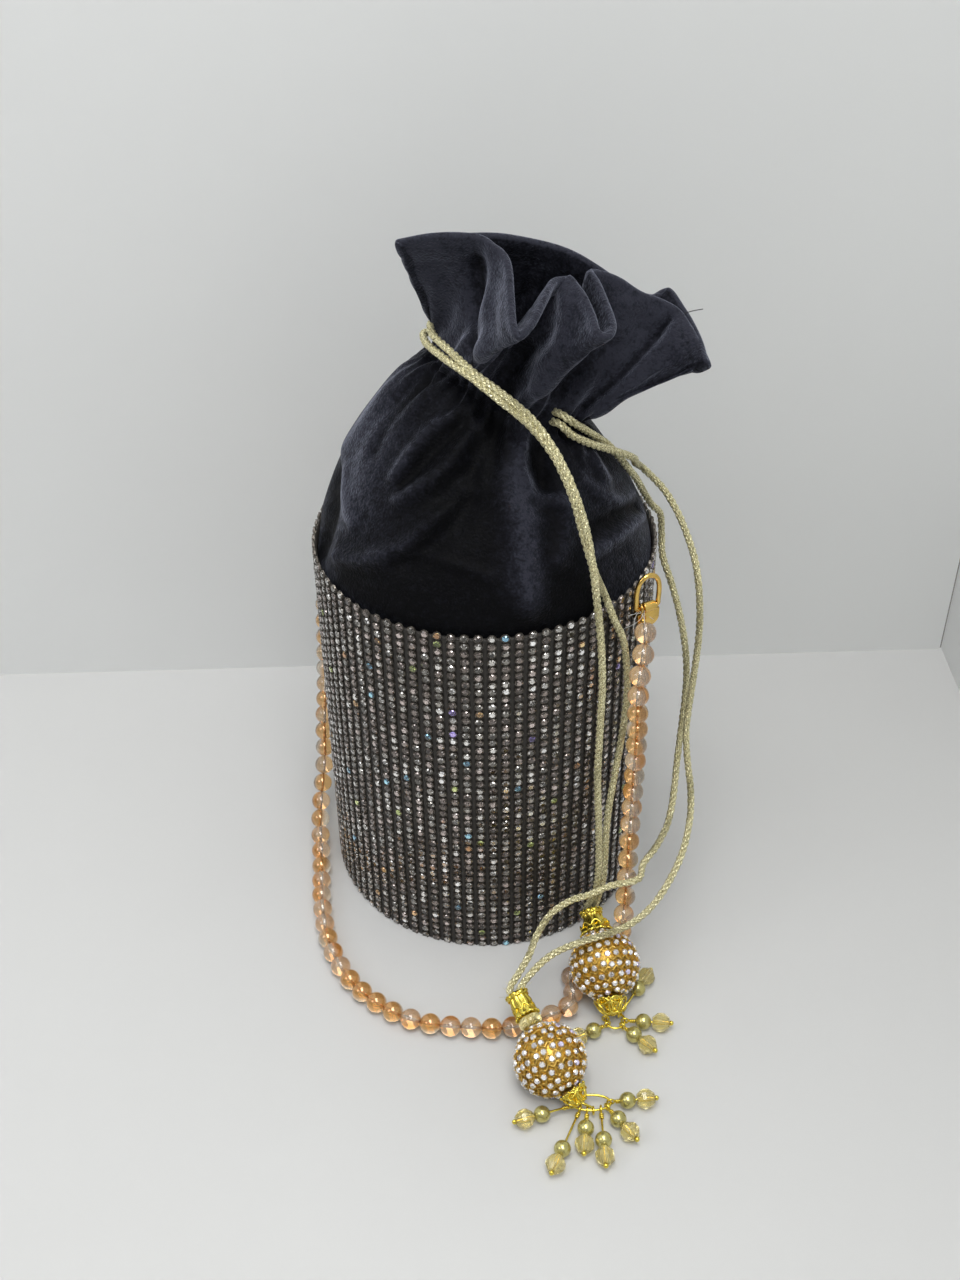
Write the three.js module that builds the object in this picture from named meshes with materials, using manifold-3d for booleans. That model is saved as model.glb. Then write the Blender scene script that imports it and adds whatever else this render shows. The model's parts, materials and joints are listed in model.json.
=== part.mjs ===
import * as THREE from 'three';
import { mergeVertices } from 'three/addons/utils/BufferGeometryUtils.js';
import Module from 'manifold-3d';

// A potli bag: a stiff round body dressed in rhinestone banding, a gathered velvet top,
// a bead handle between two D-rings, and two cord ends with jewelled tassels.
// Millimetres, +Z up. The origin is the centre of the base. +X runs through a D-ring.

const wasm = await Module();
wasm.setup();

// Body
const BODY_RADIUS = 62.5;
const BODY_HEIGHT = 156;
const BANDING_THICKNESS = 1.8;
const STONE_COLUMNS = 84;
const STONE_RIDGE = 0.8;
const SCALLOP = 1.1;
const BOARD_THICKNESS = 1.8;
const RIM_DEPTH = 6;
const BOARD_HEIGHT = BODY_HEIGHT - RIM_DEPTH;
const BASE_THICKNESS = 2.5;
const LINING_THICKNESS = 0.7;
const CLEARANCE = 0.3;

// Velvet top: the rim, the drawn neck and the ruffle above it
const VELVET_THICKNESS = 1.5;
const HEM_THICKNESS = 2.2;
const NECK_RISE = 67;
const NECK_CENTRE = new THREE.Vector3(8, 0, BOARD_HEIGHT + NECK_RISE);
const NECK_LEAN = THREE.MathUtils.degToRad(18);
const NECK_HALF_WIDTH = 28;
const NECK_HALF_DEPTH = 14;
const NECK_PLEATS = 11;
const PLEAT_DEPTH = 1.4;
const SHOULDER_LEFT = 36;
const SHOULDER_RIGHT = 14;
const SHOULDER_FRONT = 28;
const NECK_REACH_LEFT = 12;
const NECK_REACH_RIGHT = 6;
const VELVET_COLUMNS = 60;

// D-rings and their tabs
const RING_WIRE = 0.9;
const RING_HALF_WIDTH = 4.3;
const RING_HEIGHT = 13.4;
const TAB_THICKNESS = 1.4;
const TAB_FOLD_WALL = 0.6;
const TAB_WIDTH = 8.3;
const TAB_LENGTH = 8.2;
const RIGHT_LEVEL = BODY_HEIGHT - 8;
const LEFT_LEVEL = BODY_HEIGHT - 20;
const RIGHT_FITTING = { azimuth: -5, turn: -38, standoff: 4.3, level: RIGHT_LEVEL };
const LEFT_FITTING = { azimuth: 180, turn: 180, standoff: 1.8, level: LEFT_LEVEL };
const POST_RADIUS = 1.6;

// Bead handle
const BEAD_RADIUS = 3.9;
const BEAD_COUNT = 64;
const STRAND_WIRE = 0.35;
const BEAD_NECK = 0.9;
const LOOP_RADIUS = 1.6;
const LOOP_OFFSET = -2.5;

// Drawstrings
const CORD_RADIUS = 1.4;

// Tassels
const BALL_RADIUS = 13.2;
const CAP_LENGTH = 9;
const CAP_WALL = 0.6;
const PIN_RADIUS = 0.4;
const EYE_RADIUS = 1.25;
const LINK_WIRE = 0.45;
const PEARL_RADIUS = 3;
const CRYSTAL_RADIUS = 3.6;
const CRYSTAL_LENGTH = 6.4;
const BEAD_BORE = 0.7;

const model = new THREE.Group();

const VELVET = { color: 0x10121a, roughness: 0.85, metalness: 0 };
const SATIN = { color: 0x16161a, roughness: 0.5, metalness: 0 };
const BOARD = { color: 0x1b1a19, roughness: 0.9, metalness: 0 };
const STONES = { color: 0x5b5551, roughness: 0.35, metalness: 0.5 };
const GOLD = { color: 0xd0a040, roughness: 0.25, metalness: 1 };
const PEACH_GLASS = { color: 0xe0a880, roughness: 0.1, metalness: 0.1 };
const METALLIC_CORD = { color: 0xbdb083, roughness: 0.45, metalness: 0.5 };
const GLITTER = { color: 0xb08428, roughness: 0.35, metalness: 0.6 };
const PEARL = { color: 0x98903c, roughness: 0.25, metalness: 0.6 };
const AMBER = { color: 0xe3cc84, roughness: 0.1, metalness: 0 };

function closed(geometry) {
  // One watertight skin: shared points merged, collapsed faces dropped, faces outward.
  const bare = geometry.clone();
  for (const name of Object.keys(bare.attributes)) {
    if (name !== 'position') bare.deleteAttribute(name);
  }
  const merged = mergeVertices(bare, 1e-4);
  const point = merged.attributes.position;
  const corner = [0, 1, 2].map(() => new THREE.Vector3());
  const faces = [];
  let volume = 0;
  for (let i = 0; i < merged.index.count; i += 3) {
    const face = [0, 1, 2].map((k) => merged.index.getX(i + k));
    if (new Set(face).size < 3) continue;
    face.forEach((vertex, k) => corner[k].fromBufferAttribute(point, vertex));
    volume += corner[0].dot(corner[1].clone().cross(corner[2]));
    faces.push(face);
  }
  if (volume < 0) faces.forEach((face) => face.reverse());
  merged.setIndex(faces.flat());
  merged.computeVertexNormals();
  return merged;
}

function solid(geometry) {
  const skin = closed(geometry);
  return new wasm.Manifold(new wasm.Mesh({
    numProp: 3,
    vertProperties: new Float32Array(skin.attributes.position.array),
    triVerts: new Uint32Array(skin.index.array),
  }));
}

function joined(geometries) {
  const body = geometries.map(solid).reduce((whole, next) => whole.add(next));
  const mesh = body.getMesh();
  const geometry = new THREE.BufferGeometry();
  geometry.setAttribute('position', new THREE.BufferAttribute(mesh.vertProperties, 3));
  geometry.setIndex(new THREE.BufferAttribute(mesh.triVerts, 1));
  return geometry;
}

function add(name, geometry, look, parent = model) {
  const mesh = new THREE.Mesh(closed(geometry), new THREE.MeshStandardMaterial(look));
  mesh.name = name;
  parent.add(mesh);
  return mesh;
}

function lathe(outline, segments) {
  // An outline of [radius, height] pairs turned about Z, closed on itself or on the axis.
  const points = outline.map(([radius, height]) => new THREE.Vector2(radius, height));
  if (outline[0][0] > 0) points.push(points[0].clone());
  return new THREE.LatheGeometry(points, segments).rotateX(Math.PI / 2);
}

function skinOf(rings) {
  // A closed skin over rings of points: each ring closes, and the last meets the first.
  const columns = rings[0].length;
  const sheet = new THREE.PlaneGeometry(1, 1, columns, rings.length);
  for (let row = 0; row <= rings.length; row += 1) {
    for (let column = 0; column <= columns; column += 1) {
      const spot = rings[row % rings.length][column % columns];
      sheet.attributes.position.setXYZ(row * (columns + 1) + column, spot.x, spot.y, spot.z);
    }
  }
  return sheet;
}

function rod(from, to, radius, sides = 8) {
  const axis = to.clone().sub(from);
  const geometry = new THREE.CylinderGeometry(radius, radius, axis.length(), sides);
  const turn = new THREE.Quaternion().setFromUnitVectors(new THREE.Vector3(0, 1, 0), axis.normalize());
  const middle = from.clone().add(to).multiplyScalar(0.5);
  return geometry.applyQuaternion(turn).translate(middle.x, middle.y, middle.z);
}

function eye(centre, axis, radius, wire, steps = 10) {
  const turn = new THREE.Quaternion().setFromUnitVectors(new THREE.Vector3(0, 0, 1), axis);
  const geometry = new THREE.TorusGeometry(radius, wire, 6, steps);
  return geometry.applyQuaternion(turn).translate(centre.x, centre.y, centre.z);
}

function heading(degrees, drop = 0) {
  const turn = THREE.MathUtils.degToRad(degrees);
  const tilt = THREE.MathUtils.degToRad(drop);
  return new THREE.Vector3(Math.cos(turn) * Math.cos(tilt), Math.sin(turn) * Math.cos(tilt), -Math.sin(tilt));
}

function aim(group, direction) {
  // Turns a group's own Z axis to a direction.
  group.quaternion.setFromUnitVectors(new THREE.Vector3(0, 0, 1), direction);
  return group;
}

// Stiff body: base disc, board tube, satin lining and the rhinestone banding
const boardRadius = BODY_RADIUS - BANDING_THICKNESS - CLEARANCE;
const boardBore = boardRadius - BOARD_THICKNESS;
const baseRadius = boardBore - CLEARANCE;
const liningFloor = BASE_THICKNESS + CLEARANCE;
const liningInside = baseRadius - LINING_THICKNESS;

const base = new THREE.CylinderGeometry(baseRadius, baseRadius, BASE_THICKNESS, 48);
add('base_disc', base.rotateX(Math.PI / 2).translate(0, 0, BASE_THICKNESS / 2), BOARD);

add('board_tube', lathe([
  [boardBore, 0],
  [boardRadius, 0],
  [boardRadius, BOARD_HEIGHT],
  [boardBore, BOARD_HEIGHT],
], 48), BOARD);

add('lining_bag', lathe([
  [0, liningFloor],
  [baseRadius, liningFloor],
  [baseRadius, BOARD_HEIGHT],
  [liningInside, BOARD_HEIGHT],
  [liningInside, liningFloor + LINING_THICKNESS],
  [0, liningFloor + LINING_THICKNESS],
], 48), SATIN);

function bandingRings() {
  // Each column of stones is a ridge, and its top stone stands above the net between.
  const inside = BODY_RADIUS - BANDING_THICKNESS;
  const rings = [[], [], [], []];
  for (let i = 0; i < STONE_COLUMNS * 2; i += 1) {
    const ridge = i % 2 === 0;
    const angle = (i / (STONE_COLUMNS * 2)) * 2 * Math.PI;
    const outside = BODY_RADIUS - (ridge ? 0 : STONE_RIDGE);
    const top = BODY_HEIGHT - (ridge ? 0 : SCALLOP);
    const corners = [[inside, 0], [outside, 0], [outside, top], [inside, top]];
    corners.forEach(([radius, height], k) => {
      rings[k].push(new THREE.Vector3(radius * Math.cos(angle), radius * Math.sin(angle), height));
    });
  }
  return rings;
}
add('rhinestone_banding', skinOf(bandingRings()), STONES);

// Velvet top
const neckAcross = new THREE.Vector3(Math.cos(NECK_LEAN), 0, -Math.sin(NECK_LEAN));
const neckDeep = new THREE.Vector3(0, 1, 0);
const neckUp = new THREE.Vector3(Math.sin(NECK_LEAN), 0, Math.cos(NECK_LEAN));

function aboveNeck(across, deep, up) {
  return NECK_CENTRE.clone()
    .addScaledVector(neckAcross, across)
    .addScaledVector(neckDeep, deep)
    .addScaledVector(neckUp, up);
}

// The hem of the ruffle, seam to seam, as places across, deep and up from the neck's centre
const backHem = [
  [58, 10, 39], [49, 21, 39.5], [38, 28, 42], [31, 27, 42.5], [21, 20, 44], [11, 15.5, 48], [1, 13, 49.5],
  [-8, 12, 49.5], [-18, 6, 49], [-28, -1, 47.5], [-38, -10, 45.5], [-43, -20, 43],
];
const frontHem = [
  [-43, -20, 43], [-31, -15.5, 46], [-18, -8, 48], [-10, -10, 48], [-3, -21, 45], [5, -31, 41.6],
  [11, -28, 43], [8, -12, 46], [3, 3, 46], [10, 0, 47], [21, -9, 46], [28, -15, 45],
  [30, -10, 45], [22, 1, 47], [14, 8, 47.5], [20, 15, 46], [28, 18, 44.5], [40, 22, 42.5], [51, 15, 41], [58, 10, 39],
];
const hemCurve = (spots) => new THREE.CatmullRomCurve3(spots.map((spot) => aboveNeck(...spot)));
const backHemCurve = hemCurve(backHem);
const frontHemCurve = hemCurve(frontHem);

function neckPoint(turn) {
  const angle = turn * 2 * Math.PI;
  const pleat = PLEAT_DEPTH * (Math.cos(NECK_PLEATS * angle) - 1) / 2;
  return aboveNeck((NECK_HALF_WIDTH + pleat) * Math.cos(angle), (NECK_HALF_DEPTH + pleat) * Math.sin(angle), 0);
}

function hemPoint(turn) {
  return turn < 0.5 ? backHemCurve.getPointAt(turn * 2) : frontHemCurve.getPointAt(turn * 2 - 1);
}

function velvetPoint(turn, rise) {
  // rise runs from 0 at the rim to 1 at the drawn neck and 2 at the hem.
  const angle = turn * 2 * Math.PI;
  const side = Math.cos(angle);
  const neck = neckPoint(turn);
  if (rise <= 1) {
    const rim = new THREE.Vector3(Math.cos(angle), Math.sin(angle), 0)
      .multiplyScalar(boardRadius - 0.1)
      .setZ(BOARD_HEIGHT + CLEARANCE);
    const sideShare = side * side;
    const shoulderSide = side < 0 ? SHOULDER_LEFT : SHOULDER_RIGHT;
    const reachSide = side < 0 ? NECK_REACH_LEFT : NECK_REACH_RIGHT;
    const shoulder = THREE.MathUtils.lerp(SHOULDER_FRONT, shoulderSide, sideShare);
    const reach = THREE.MathUtils.lerp((NECK_REACH_LEFT + NECK_REACH_RIGHT) / 2, reachSide, sideShare);
    const above = rim.clone().add(new THREE.Vector3(0, 0, shoulder));
    const outward = new THREE.Vector3(side, Math.sin(angle), 0);
    const below = neck.clone().addScaledVector(outward, reach * 0.7).addScaledVector(neckUp, -reach * 0.35);
    const arc = new THREE.CubicBezierCurve3(rim, above, below, neck);
    return arc.getPoint(rise);
  }
  const hem = hemPoint(turn);
  const slope = hem.clone().sub(neck).normalize();
  const start = neck.clone().addScaledVector(neckUp, 5).addScaledVector(slope, 9);
  const finish = hem.clone().addScaledVector(slope, -16);
  return new THREE.CubicBezierCurve3(neck, start, finish, hem).getPoint(rise - 1);
}

function velvetRings() {
  const outside = [0, 0.08, 0.2, 0.34, 0.48, 0.62, 0.76, 0.88, 0.96, 1, 1.08, 1.22, 1.4, 1.6, 1.8, 2];
  const inside = [2, 1.7, 1.4, 1.1, 1, 0.9, 0.7, 0.45, 0.2, 0];
  const ring = (rise, depth) => Array.from({ length: VELVET_COLUMNS }, (_, column) => {
    const turn = column / VELVET_COLUMNS;
    const spot = velvetPoint(turn, rise);
    if (depth === 0) return spot;
    const step = 0.25 / VELVET_COLUMNS;
    const low = Math.max(rise - 0.02, 0);
    const high = Math.min(rise + 0.02, 2);
    const around = velvetPoint((turn + step) % 1, rise).sub(velvetPoint((turn - step + 1) % 1, rise));
    const upward = velvetPoint(turn, high).sub(velvetPoint(turn, low));
    const inward = upward.cross(around).normalize();
    if (rise === 0) inward.set(-Math.cos(turn * 2 * Math.PI), -Math.sin(turn * 2 * Math.PI), 0);
    return spot.addScaledVector(inward, depth);
  });
  const depthAt = (rise) => THREE.MathUtils.lerp(VELVET_THICKNESS, HEM_THICKNESS, Math.max(rise - 1.6, 0) * 2.5);
  return [...outside.map((rise) => ring(rise, 0)), ...inside.map((rise) => ring(rise, depthAt(rise)))];
}
add('velvet_top', skinOf(velvetRings()), VELVET);

// Fittings: a folded gold tab held off the wall on a post, with a D-ring in its fold
function fittingGroup({ azimuth, turn, standoff, level }) {
  const group = new THREE.Group();
  group.position.copy(heading(azimuth)).multiplyScalar(BODY_RADIUS + standoff).setZ(level);
  group.rotation.z = THREE.MathUtils.degToRad(turn);
  group.updateMatrix();
  return group;
}

function ringPath() {
  // In the ring's own frame Y runs along the bar and Z up the arch.
  const w = RING_HALF_WIDTH;
  const spots = [
    [0, 0], [w * 0.7, 0], [w * 0.97, 0.5], [w, 2], [w, RING_HEIGHT - w * 1.25],
    [w * 0.78, RING_HEIGHT - w * 0.5], [w * 0.4, RING_HEIGHT - w * 0.1], [0, RING_HEIGHT],
  ];
  const mirrored = spots.slice(1, -1).reverse().map(([y, z]) => [-y, z]);
  const points = [...spots, ...mirrored].map(([y, z]) => new THREE.Vector3(0, y, z));
  return new THREE.CatmullRomCurve3(points, true);
}

function tabGeometry() {
  const foldBore = RING_WIRE + CLEARANCE;
  const foldOuter = foldBore + TAB_FOLD_WALL;
  const fold = lathe([
    [foldBore, -1.4], [foldOuter, -1.4], [foldOuter, 3], [foldBore, 3],
  ], 12).rotateX(-Math.PI / 2);
  const left = -3.5;
  const right = left + TAB_WIDTH;
  const top = -foldBore - 0.2;
  const bottom = -TAB_LENGTH;
  const round = 3.4;
  const outline = new THREE.Shape();
  outline.moveTo(-1.4, top);
  outline.lineTo(-1.4, top - 1.1);
  outline.lineTo(left, top - 1.1);
  outline.lineTo(left, bottom + 1);
  outline.lineTo(left + 1, bottom);
  outline.lineTo(right - round, bottom);
  outline.absarc(right - round, bottom + round, round, -Math.PI / 2, 0, false);
  outline.lineTo(right, top);
  const plate = new THREE.ExtrudeGeometry(outline, { depth: TAB_THICKNESS, bevelEnabled: false, curveSegments: 5 });
  plate.translate(0, 0, -TAB_THICKNESS / 2).rotateX(Math.PI / 2).rotateZ(Math.PI / 2);
  return [fold, plate];
}

function addFitting(side, place) {
  const group = fittingGroup(place);
  model.add(group);
  const toWall = new THREE.Vector3(0, 0.6, -TAB_LENGTH * 0.6);
  const world = toWall.clone().applyMatrix4(group.matrix);
  const wall = world.clone().setZ(0).setLength(BODY_RADIUS + CLEARANCE).setZ(world.z);
  const post = rod(toWall, wall.applyMatrix4(group.matrix.clone().invert()), POST_RADIUS, 10);
  add(`ring_tab_${side}`, joined([...tabGeometry(), post]), GOLD, group);
  add(`d_ring_${side}`, new THREE.TubeGeometry(ringPath(), 26, RING_WIRE, 6, true), GOLD, group);
  return group;
}
const rightFitting = addFitting('right', RIGHT_FITTING);
const leftFitting = addFitting('left', LEFT_FITTING);

// Bead handle: a string of glass beads with a wire loop round the bar of each D-ring
// Each point: how far beyond the body's wall, its azimuth, and its level
const strandRoute = [
  [11.26, -15.73, RIGHT_LEVEL - 23], [12.5, -16.26, RIGHT_LEVEL - 47],
  [12.5, -16.26, RIGHT_LEVEL - 71], [14.34, -18.2, 53], [17.91, -21.14, 38], [22.08, -24.44, 23],
  [22.93, -25.67, 15], [20.26, -28.11, 9], [17.95, -32.31, 5.5], [19.51, -37.57, 4.3],
  [25.36, -41.31, 4.2], [32.35, -42.44, 4.2], [37.2, -44.59, 5], [39.57, -48.97, 5],
  [41.81, -57.53, 4.2], [41.78, -65.65, 4.2], [41.64, -78.37, 4.2], [36.55, -91.74, 4.2],
  [27.49, -104.81, 4.2], [17.15, -118.5, 4.2], [8.92, -135.57, 5], [7.71, -153.8, 11],
  [8.33, -166.94, 27], [9.35, -171.19, 42], [8.95, -173.57, 57], [8.68, -175.97, LEFT_LEVEL - 56],
  [8.53, -178.39, LEFT_LEVEL - 33], [7.51, -180.82, LEFT_LEVEL - 18],
];

function loopFrame(group) {
  const centre = new THREE.Vector3(0, LOOP_OFFSET, 0).applyMatrix4(group.matrix);
  const bar = new THREE.Vector3(0, 1, 0).transformDirection(group.matrix);
  const firstBead = new THREE.Vector3(5, LOOP_OFFSET - 0.4, -7).applyMatrix4(group.matrix);
  const downward = firstBead.clone().sub(centre).normalize();
  const beadEdge = firstBead.clone().addScaledVector(downward, -BEAD_RADIUS);
  return { centre, bar, firstBead, downward, beadEdge };
}

function beadStrand(route) {
  // A straight turned row of beads, bent along the route.
  const ringsPerBead = 4;
  const steps = BEAD_COUNT * ringsPerBead;
  const frames = route.computeFrenetFrames(steps, false);
  const swell = [BEAD_NECK, BEAD_RADIUS * 0.87, BEAD_RADIUS, BEAD_RADIUS * 0.87];
  const profile = [new THREE.Vector2(0, 0)];
  for (let i = 0; i <= steps; i += 1) profile.push(new THREE.Vector2(swell[i % ringsPerBead], i));
  profile.push(new THREE.Vector2(0, steps));
  const row = new THREE.LatheGeometry(profile, 6);
  const point = row.attributes.position;
  for (let i = 0; i < point.count; i += 1) {
    const step = Math.round(point.getY(i));
    const spot = route.getPointAt(step / steps);
    spot.addScaledVector(frames.normals[step], point.getX(i));
    spot.addScaledVector(frames.binormals[step], point.getZ(i));
    point.setXYZ(i, spot.x, spot.y, spot.z);
  }
  return row;
}

function handleGeometry() {
  const start = loopFrame(rightFitting);
  const finish = loopFrame(leftFitting);
  const spots = [
    start.beadEdge, start.firstBead,
    ...strandRoute.map(([beyond, azimuth, level]) => {
      const away = BODY_RADIUS + beyond;
      return heading(azimuth).multiplyScalar(away).setZ(level);
    }),
    finish.firstBead, finish.beadEdge,
  ];
  const route = new THREE.CatmullRomCurve3(spots, false, 'centripetal');
  route.arcLengthDivisions = 1200;
  const parts = [beadStrand(route)];
  for (const { centre, bar, downward, beadEdge } of [start, finish]) {
    const fromLoop = centre.clone().addScaledVector(downward, LOOP_RADIUS);
    parts.push(eye(centre, bar, LOOP_RADIUS, STRAND_WIRE, 14));
    parts.push(rod(fromLoop, beadEdge.clone().addScaledVector(downward, 0.5), STRAND_WIRE, 6));
  }
  return { geometry: joined(parts), length: route.getLength() };
}
const handle = handleGeometry();
add('bead_handle', handle.geometry, PEACH_GLASS);

// Tassels lie on the floor beside the bag, each a jewelled ball between two filigree caps
function capGeometry(wide, narrow, length) {
  // A fluted bell, open at both ends.
  const flutes = 8;
  const stations = [[wide, 0], [wide * 0.8, length * 0.35], [narrow * 1.05, length * 0.8], [narrow * 1.25, length]];
  const outline = [
    ...stations,
    ...stations.slice().reverse().map(([radius, height]) => [radius - CAP_WALL, height]),
  ];
  const rings = outline.map(([radius, height]) => Array.from({ length: flutes * 2 }, (_, i) => {
    const angle = (i / (flutes * 2)) * 2 * Math.PI;
    const reach = radius * (i % 2 === 0 ? 1 : 0.9);
    return new THREE.Vector3(reach * Math.cos(angle), reach * Math.sin(angle), height);
  }));
  return skinOf(rings);
}

function pearlGeometry() {
  const outline = [];
  const turns = 6;
  const first = Math.asin(BEAD_BORE / PEARL_RADIUS);
  for (let i = 0; i <= turns; i += 1) {
    const angle = first + (Math.PI - 2 * first) * (i / turns);
    outline.push([PEARL_RADIUS * Math.sin(angle), -PEARL_RADIUS * Math.cos(angle)]);
  }
  return lathe(outline, 10);
}

function crystalGeometry() {
  const half = CRYSTAL_LENGTH / 2;
  return lathe([
    [BEAD_BORE, -half], [CRYSTAL_RADIUS * 0.5, -half], [CRYSTAL_RADIUS * 0.92, -half * 0.42],
    [CRYSTAL_RADIUS * 0.92, half * 0.42], [CRYSTAL_RADIUS * 0.5, half], [BEAD_BORE, half],
  ], 8);
}

function linkFrame(link, angle) {
  // A place on an oval link, by its own angle.
  const along = heading(link.turn);
  const across = heading(link.turn + 90);
  return link.centre.clone()
    .addScaledVector(along, link.halfLength * Math.cos(angle))
    .addScaledVector(across, link.halfWidth * Math.sin(angle));
}

function linkGeometry(link) {
  const spots = Array.from({ length: 12 }, (_, i) => linkFrame(link, (i / 12) * 2 * Math.PI));
  return new THREE.TubeGeometry(new THREE.CatmullRomCurve3(spots, true), 18, LINK_WIRE, 6, true);
}

function addDangle(name, link, { at, crystal }) {
  // A pin hooked on the link carries a pearl and a crystal, and its head holds them.
  const hook = linkFrame(link, THREE.MathUtils.degToRad(at));
  const end = new THREE.Vector3(crystal[0], crystal[1], CRYSTAL_RADIUS * 0.92 + 0.1);
  const axis = end.clone().sub(hook);
  const reach = axis.length();
  axis.normalize();
  const group = new THREE.Group();
  group.position.copy(hook);
  aim(group, axis);
  model.add(group);
  const sideways = new THREE.Vector3(-axis.y, axis.x, 0).normalize().applyQuaternion(group.quaternion.clone().invert());
  const origin = new THREE.Vector3();
  const headFrom = new THREE.Vector3(0, 0, reach + CRYSTAL_LENGTH / 2 + CLEARANCE);
  const headTo = headFrom.clone().setZ(headFrom.z + 0.6);
  const shankFrom = new THREE.Vector3(0, 0, EYE_RADIUS);
  add(`${name}_pin`, joined([
    eye(origin, sideways, EYE_RADIUS, PIN_RADIUS),
    rod(shankFrom, headFrom.clone().setZ(headFrom.z + 0.3), PIN_RADIUS, 6),
    rod(headFrom, headTo, 1, 8),
  ]), GOLD, group);
  const pearlAt = reach - CRYSTAL_LENGTH / 2 - CLEARANCE - PEARL_RADIUS;
  add(`${name}_pearl`, pearlGeometry().translate(0, 0, pearlAt), PEARL, group);
  add(`${name}_crystal`, crystalGeometry().translate(0, 0, reach), AMBER, group);
}

function addTassel(name, { ball, turn, drop, lowerTurn, lowerDrop, spacer, link, hang, dangles }) {
  const centre = new THREE.Vector3(...ball);
  const axis = heading(turn, drop);
  add(`${name}_ball`, new THREE.SphereGeometry(BALL_RADIUS, 16, 12).translate(...ball), GLITTER);

  const upper = aim(new THREE.Group(), axis.clone().negate());
  upper.position.copy(centre);
  model.add(upper);
  let seat = BALL_RADIUS - 0.6;
  if (spacer > 0) {
    const bead = lathe([
      [1, 0], [spacer * 0.6, 0], [spacer, 1.2], [spacer, 3], [spacer * 0.6, 4.2], [1, 4.2],
    ], 12);
    add(`${name}_spacer`, bead.translate(0, 0, BALL_RADIUS + CLEARANCE), AMBER, upper);
    seat = BALL_RADIUS + 4.2 + 2 * CLEARANCE;
  }
  add(`${name}_top_cap`, capGeometry(spacer > 0 ? 4.4 : 6, 3.4, CAP_LENGTH).translate(0, 0, seat), GOLD, upper);

  const lowerAxis = heading(lowerTurn, lowerDrop);
  const lower = aim(new THREE.Group(), lowerAxis);
  lower.position.copy(centre);
  lower.updateMatrix();
  const bell = capGeometry(5, 1.9, 5).translate(0, 0, BALL_RADIUS - 0.1).applyMatrix4(lower.matrix);
  const neckFrom = centre.clone().addScaledVector(lowerAxis, BALL_RADIUS + 1.2);
  const neckTo = centre.clone().addScaledVector(lowerAxis, BALL_RADIUS + 5.4);
  const wire = linkFrame(link, THREE.MathUtils.degToRad(hang));
  const ahead = linkFrame(link, THREE.MathUtils.degToRad(hang + 3));
  const tangent = ahead.sub(wire).normalize();
  const top = wire.clone().add(new THREE.Vector3(0, 0, EYE_RADIUS));
  const plug = rod(neckFrom, neckTo, 1.6, 10);
  const stem = rod(neckTo.clone().addScaledVector(lowerAxis, -0.6), top, 0.5, 6);
  add(`${name}_lower_cap`, joined([bell, plug, stem, eye(wire, tangent, EYE_RADIUS, PIN_RADIUS)]), GOLD);
  add(`${name}_link`, linkGeometry(link), GOLD);
  dangles.forEach((dangle, i) => addDangle(`${name}_dangle_${i + 1}`, link, dangle));
}

addTassel('tassel_a', {
  ball: [78.1, -54, 15.3],
  turn: -50,
  drop: 20,
  lowerTurn: -55,
  lowerDrop: 26,
  spacer: 0,
  link: { centre: new THREE.Vector3(88.6, -66.8, 3), turn: 0, halfLength: 3.6, halfWidth: 3.6 },
  hang: -165,
  dangles: [
    { at: 84, crystal: [90.8, -43] },
    { at: 26, crystal: [104.2, -60.2] },
    { at: -18, crystal: [103.6, -71.6] },
    { at: -122, crystal: [79.8, -80.2] },
  ],
});

addTassel('tassel_b', {
  ball: [77.8, -100.6, 13.3],
  turn: -36,
  drop: 15,
  lowerTurn: -23,
  lowerDrop: 23,
  spacer: 4.4,
  link: { centre: new THREE.Vector3(95.5, -103.4, 3), turn: 28, halfLength: 7, halfWidth: 3.2 },
  hang: -85,
  dangles: [
    { at: -160, crystal: [77.7, -120.5] },
    { at: -125, crystal: [95, -131.5] },
    { at: -103, crystal: [100.6, -119.9] },
    { at: -62, crystal: [108.8, -120.9] },
    { at: -37, crystal: [112.6, -108.2] },
    { at: 5, crystal: [112.2, -93.3] },
  ],
});

// Drawstring ends: a pair from each side of the neck, each pair running to one tassel
function addCord(name, spots, steps) {
  const section = new THREE.Shape();
  section.absarc(0, 0, CORD_RADIUS, 0, 2 * Math.PI, false);
  const path = new THREE.CatmullRomCurve3(spots.map((spot) => new THREE.Vector3(...spot)));
  const options = { extrudePath: path, steps, curveSegments: 4, bevelEnabled: false };
  add(name, new THREE.ExtrudeGeometry(section, options), METALLIC_CORD);
}

const cordAUpper = [
  [-13.6, -9.6, 236], [-2.9, -16.3, 234.9], [8.3, -21.4, 232.5], [20.1, -24.2, 229.2], [31.4, -25.9, 223.8],
  [40.6, -27.8, 215.5], [47.8, -29.7, 205.3], [53.2, -31.5, 194.1], [56.9, -33.2, 182.2], [59.7, -34.8, 170],
  [62, -36, 157.6], [63.4, -36.8, 148.3], [64.6, -37.8, 135.8], [65, -38.9, 123.2], [65.3, -39.7, 110.6],
  [65.5, -40.3, 98], [66.1, -40.4, 85.4], [66.8, -40.1, 72.8], [67.2, -39.6, 60.2], [67.3, -39.1, 47.6],
  [66.3, -38.5, 34.8], [63.2, -39, 23],
];
const cordALower = [
  [-17, -8.5, 231.8], [-6.4, -14.5, 229.9], [4.6, -17, 225.5], [15, -16.8, 219.1], [25.1, -16, 212.2],
  [34.1, -16.9, 204], [40.8, -19.7, 194.2], [46.9, -22.6, 183.9], [53, -24.4, 173.4], [58.4, -24.3, 162.5],
  [70.9, -25.4, 152], [63.6, -19.2, 142.4], [64.1, -16.1, 130.5], [65.1, -15.9, 118.4], [65.5, -17.7, 106.3],
  [65.6, -20.6, 94.3], [65.5, -23.9, 82.5], [65.2, -26.6, 70.6], [65.3, -28.4, 58.4], [65.9, -29.8, 46.3],
  [66.5, -32.2, 34.1], [66, -36.7, 23],
];
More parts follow.
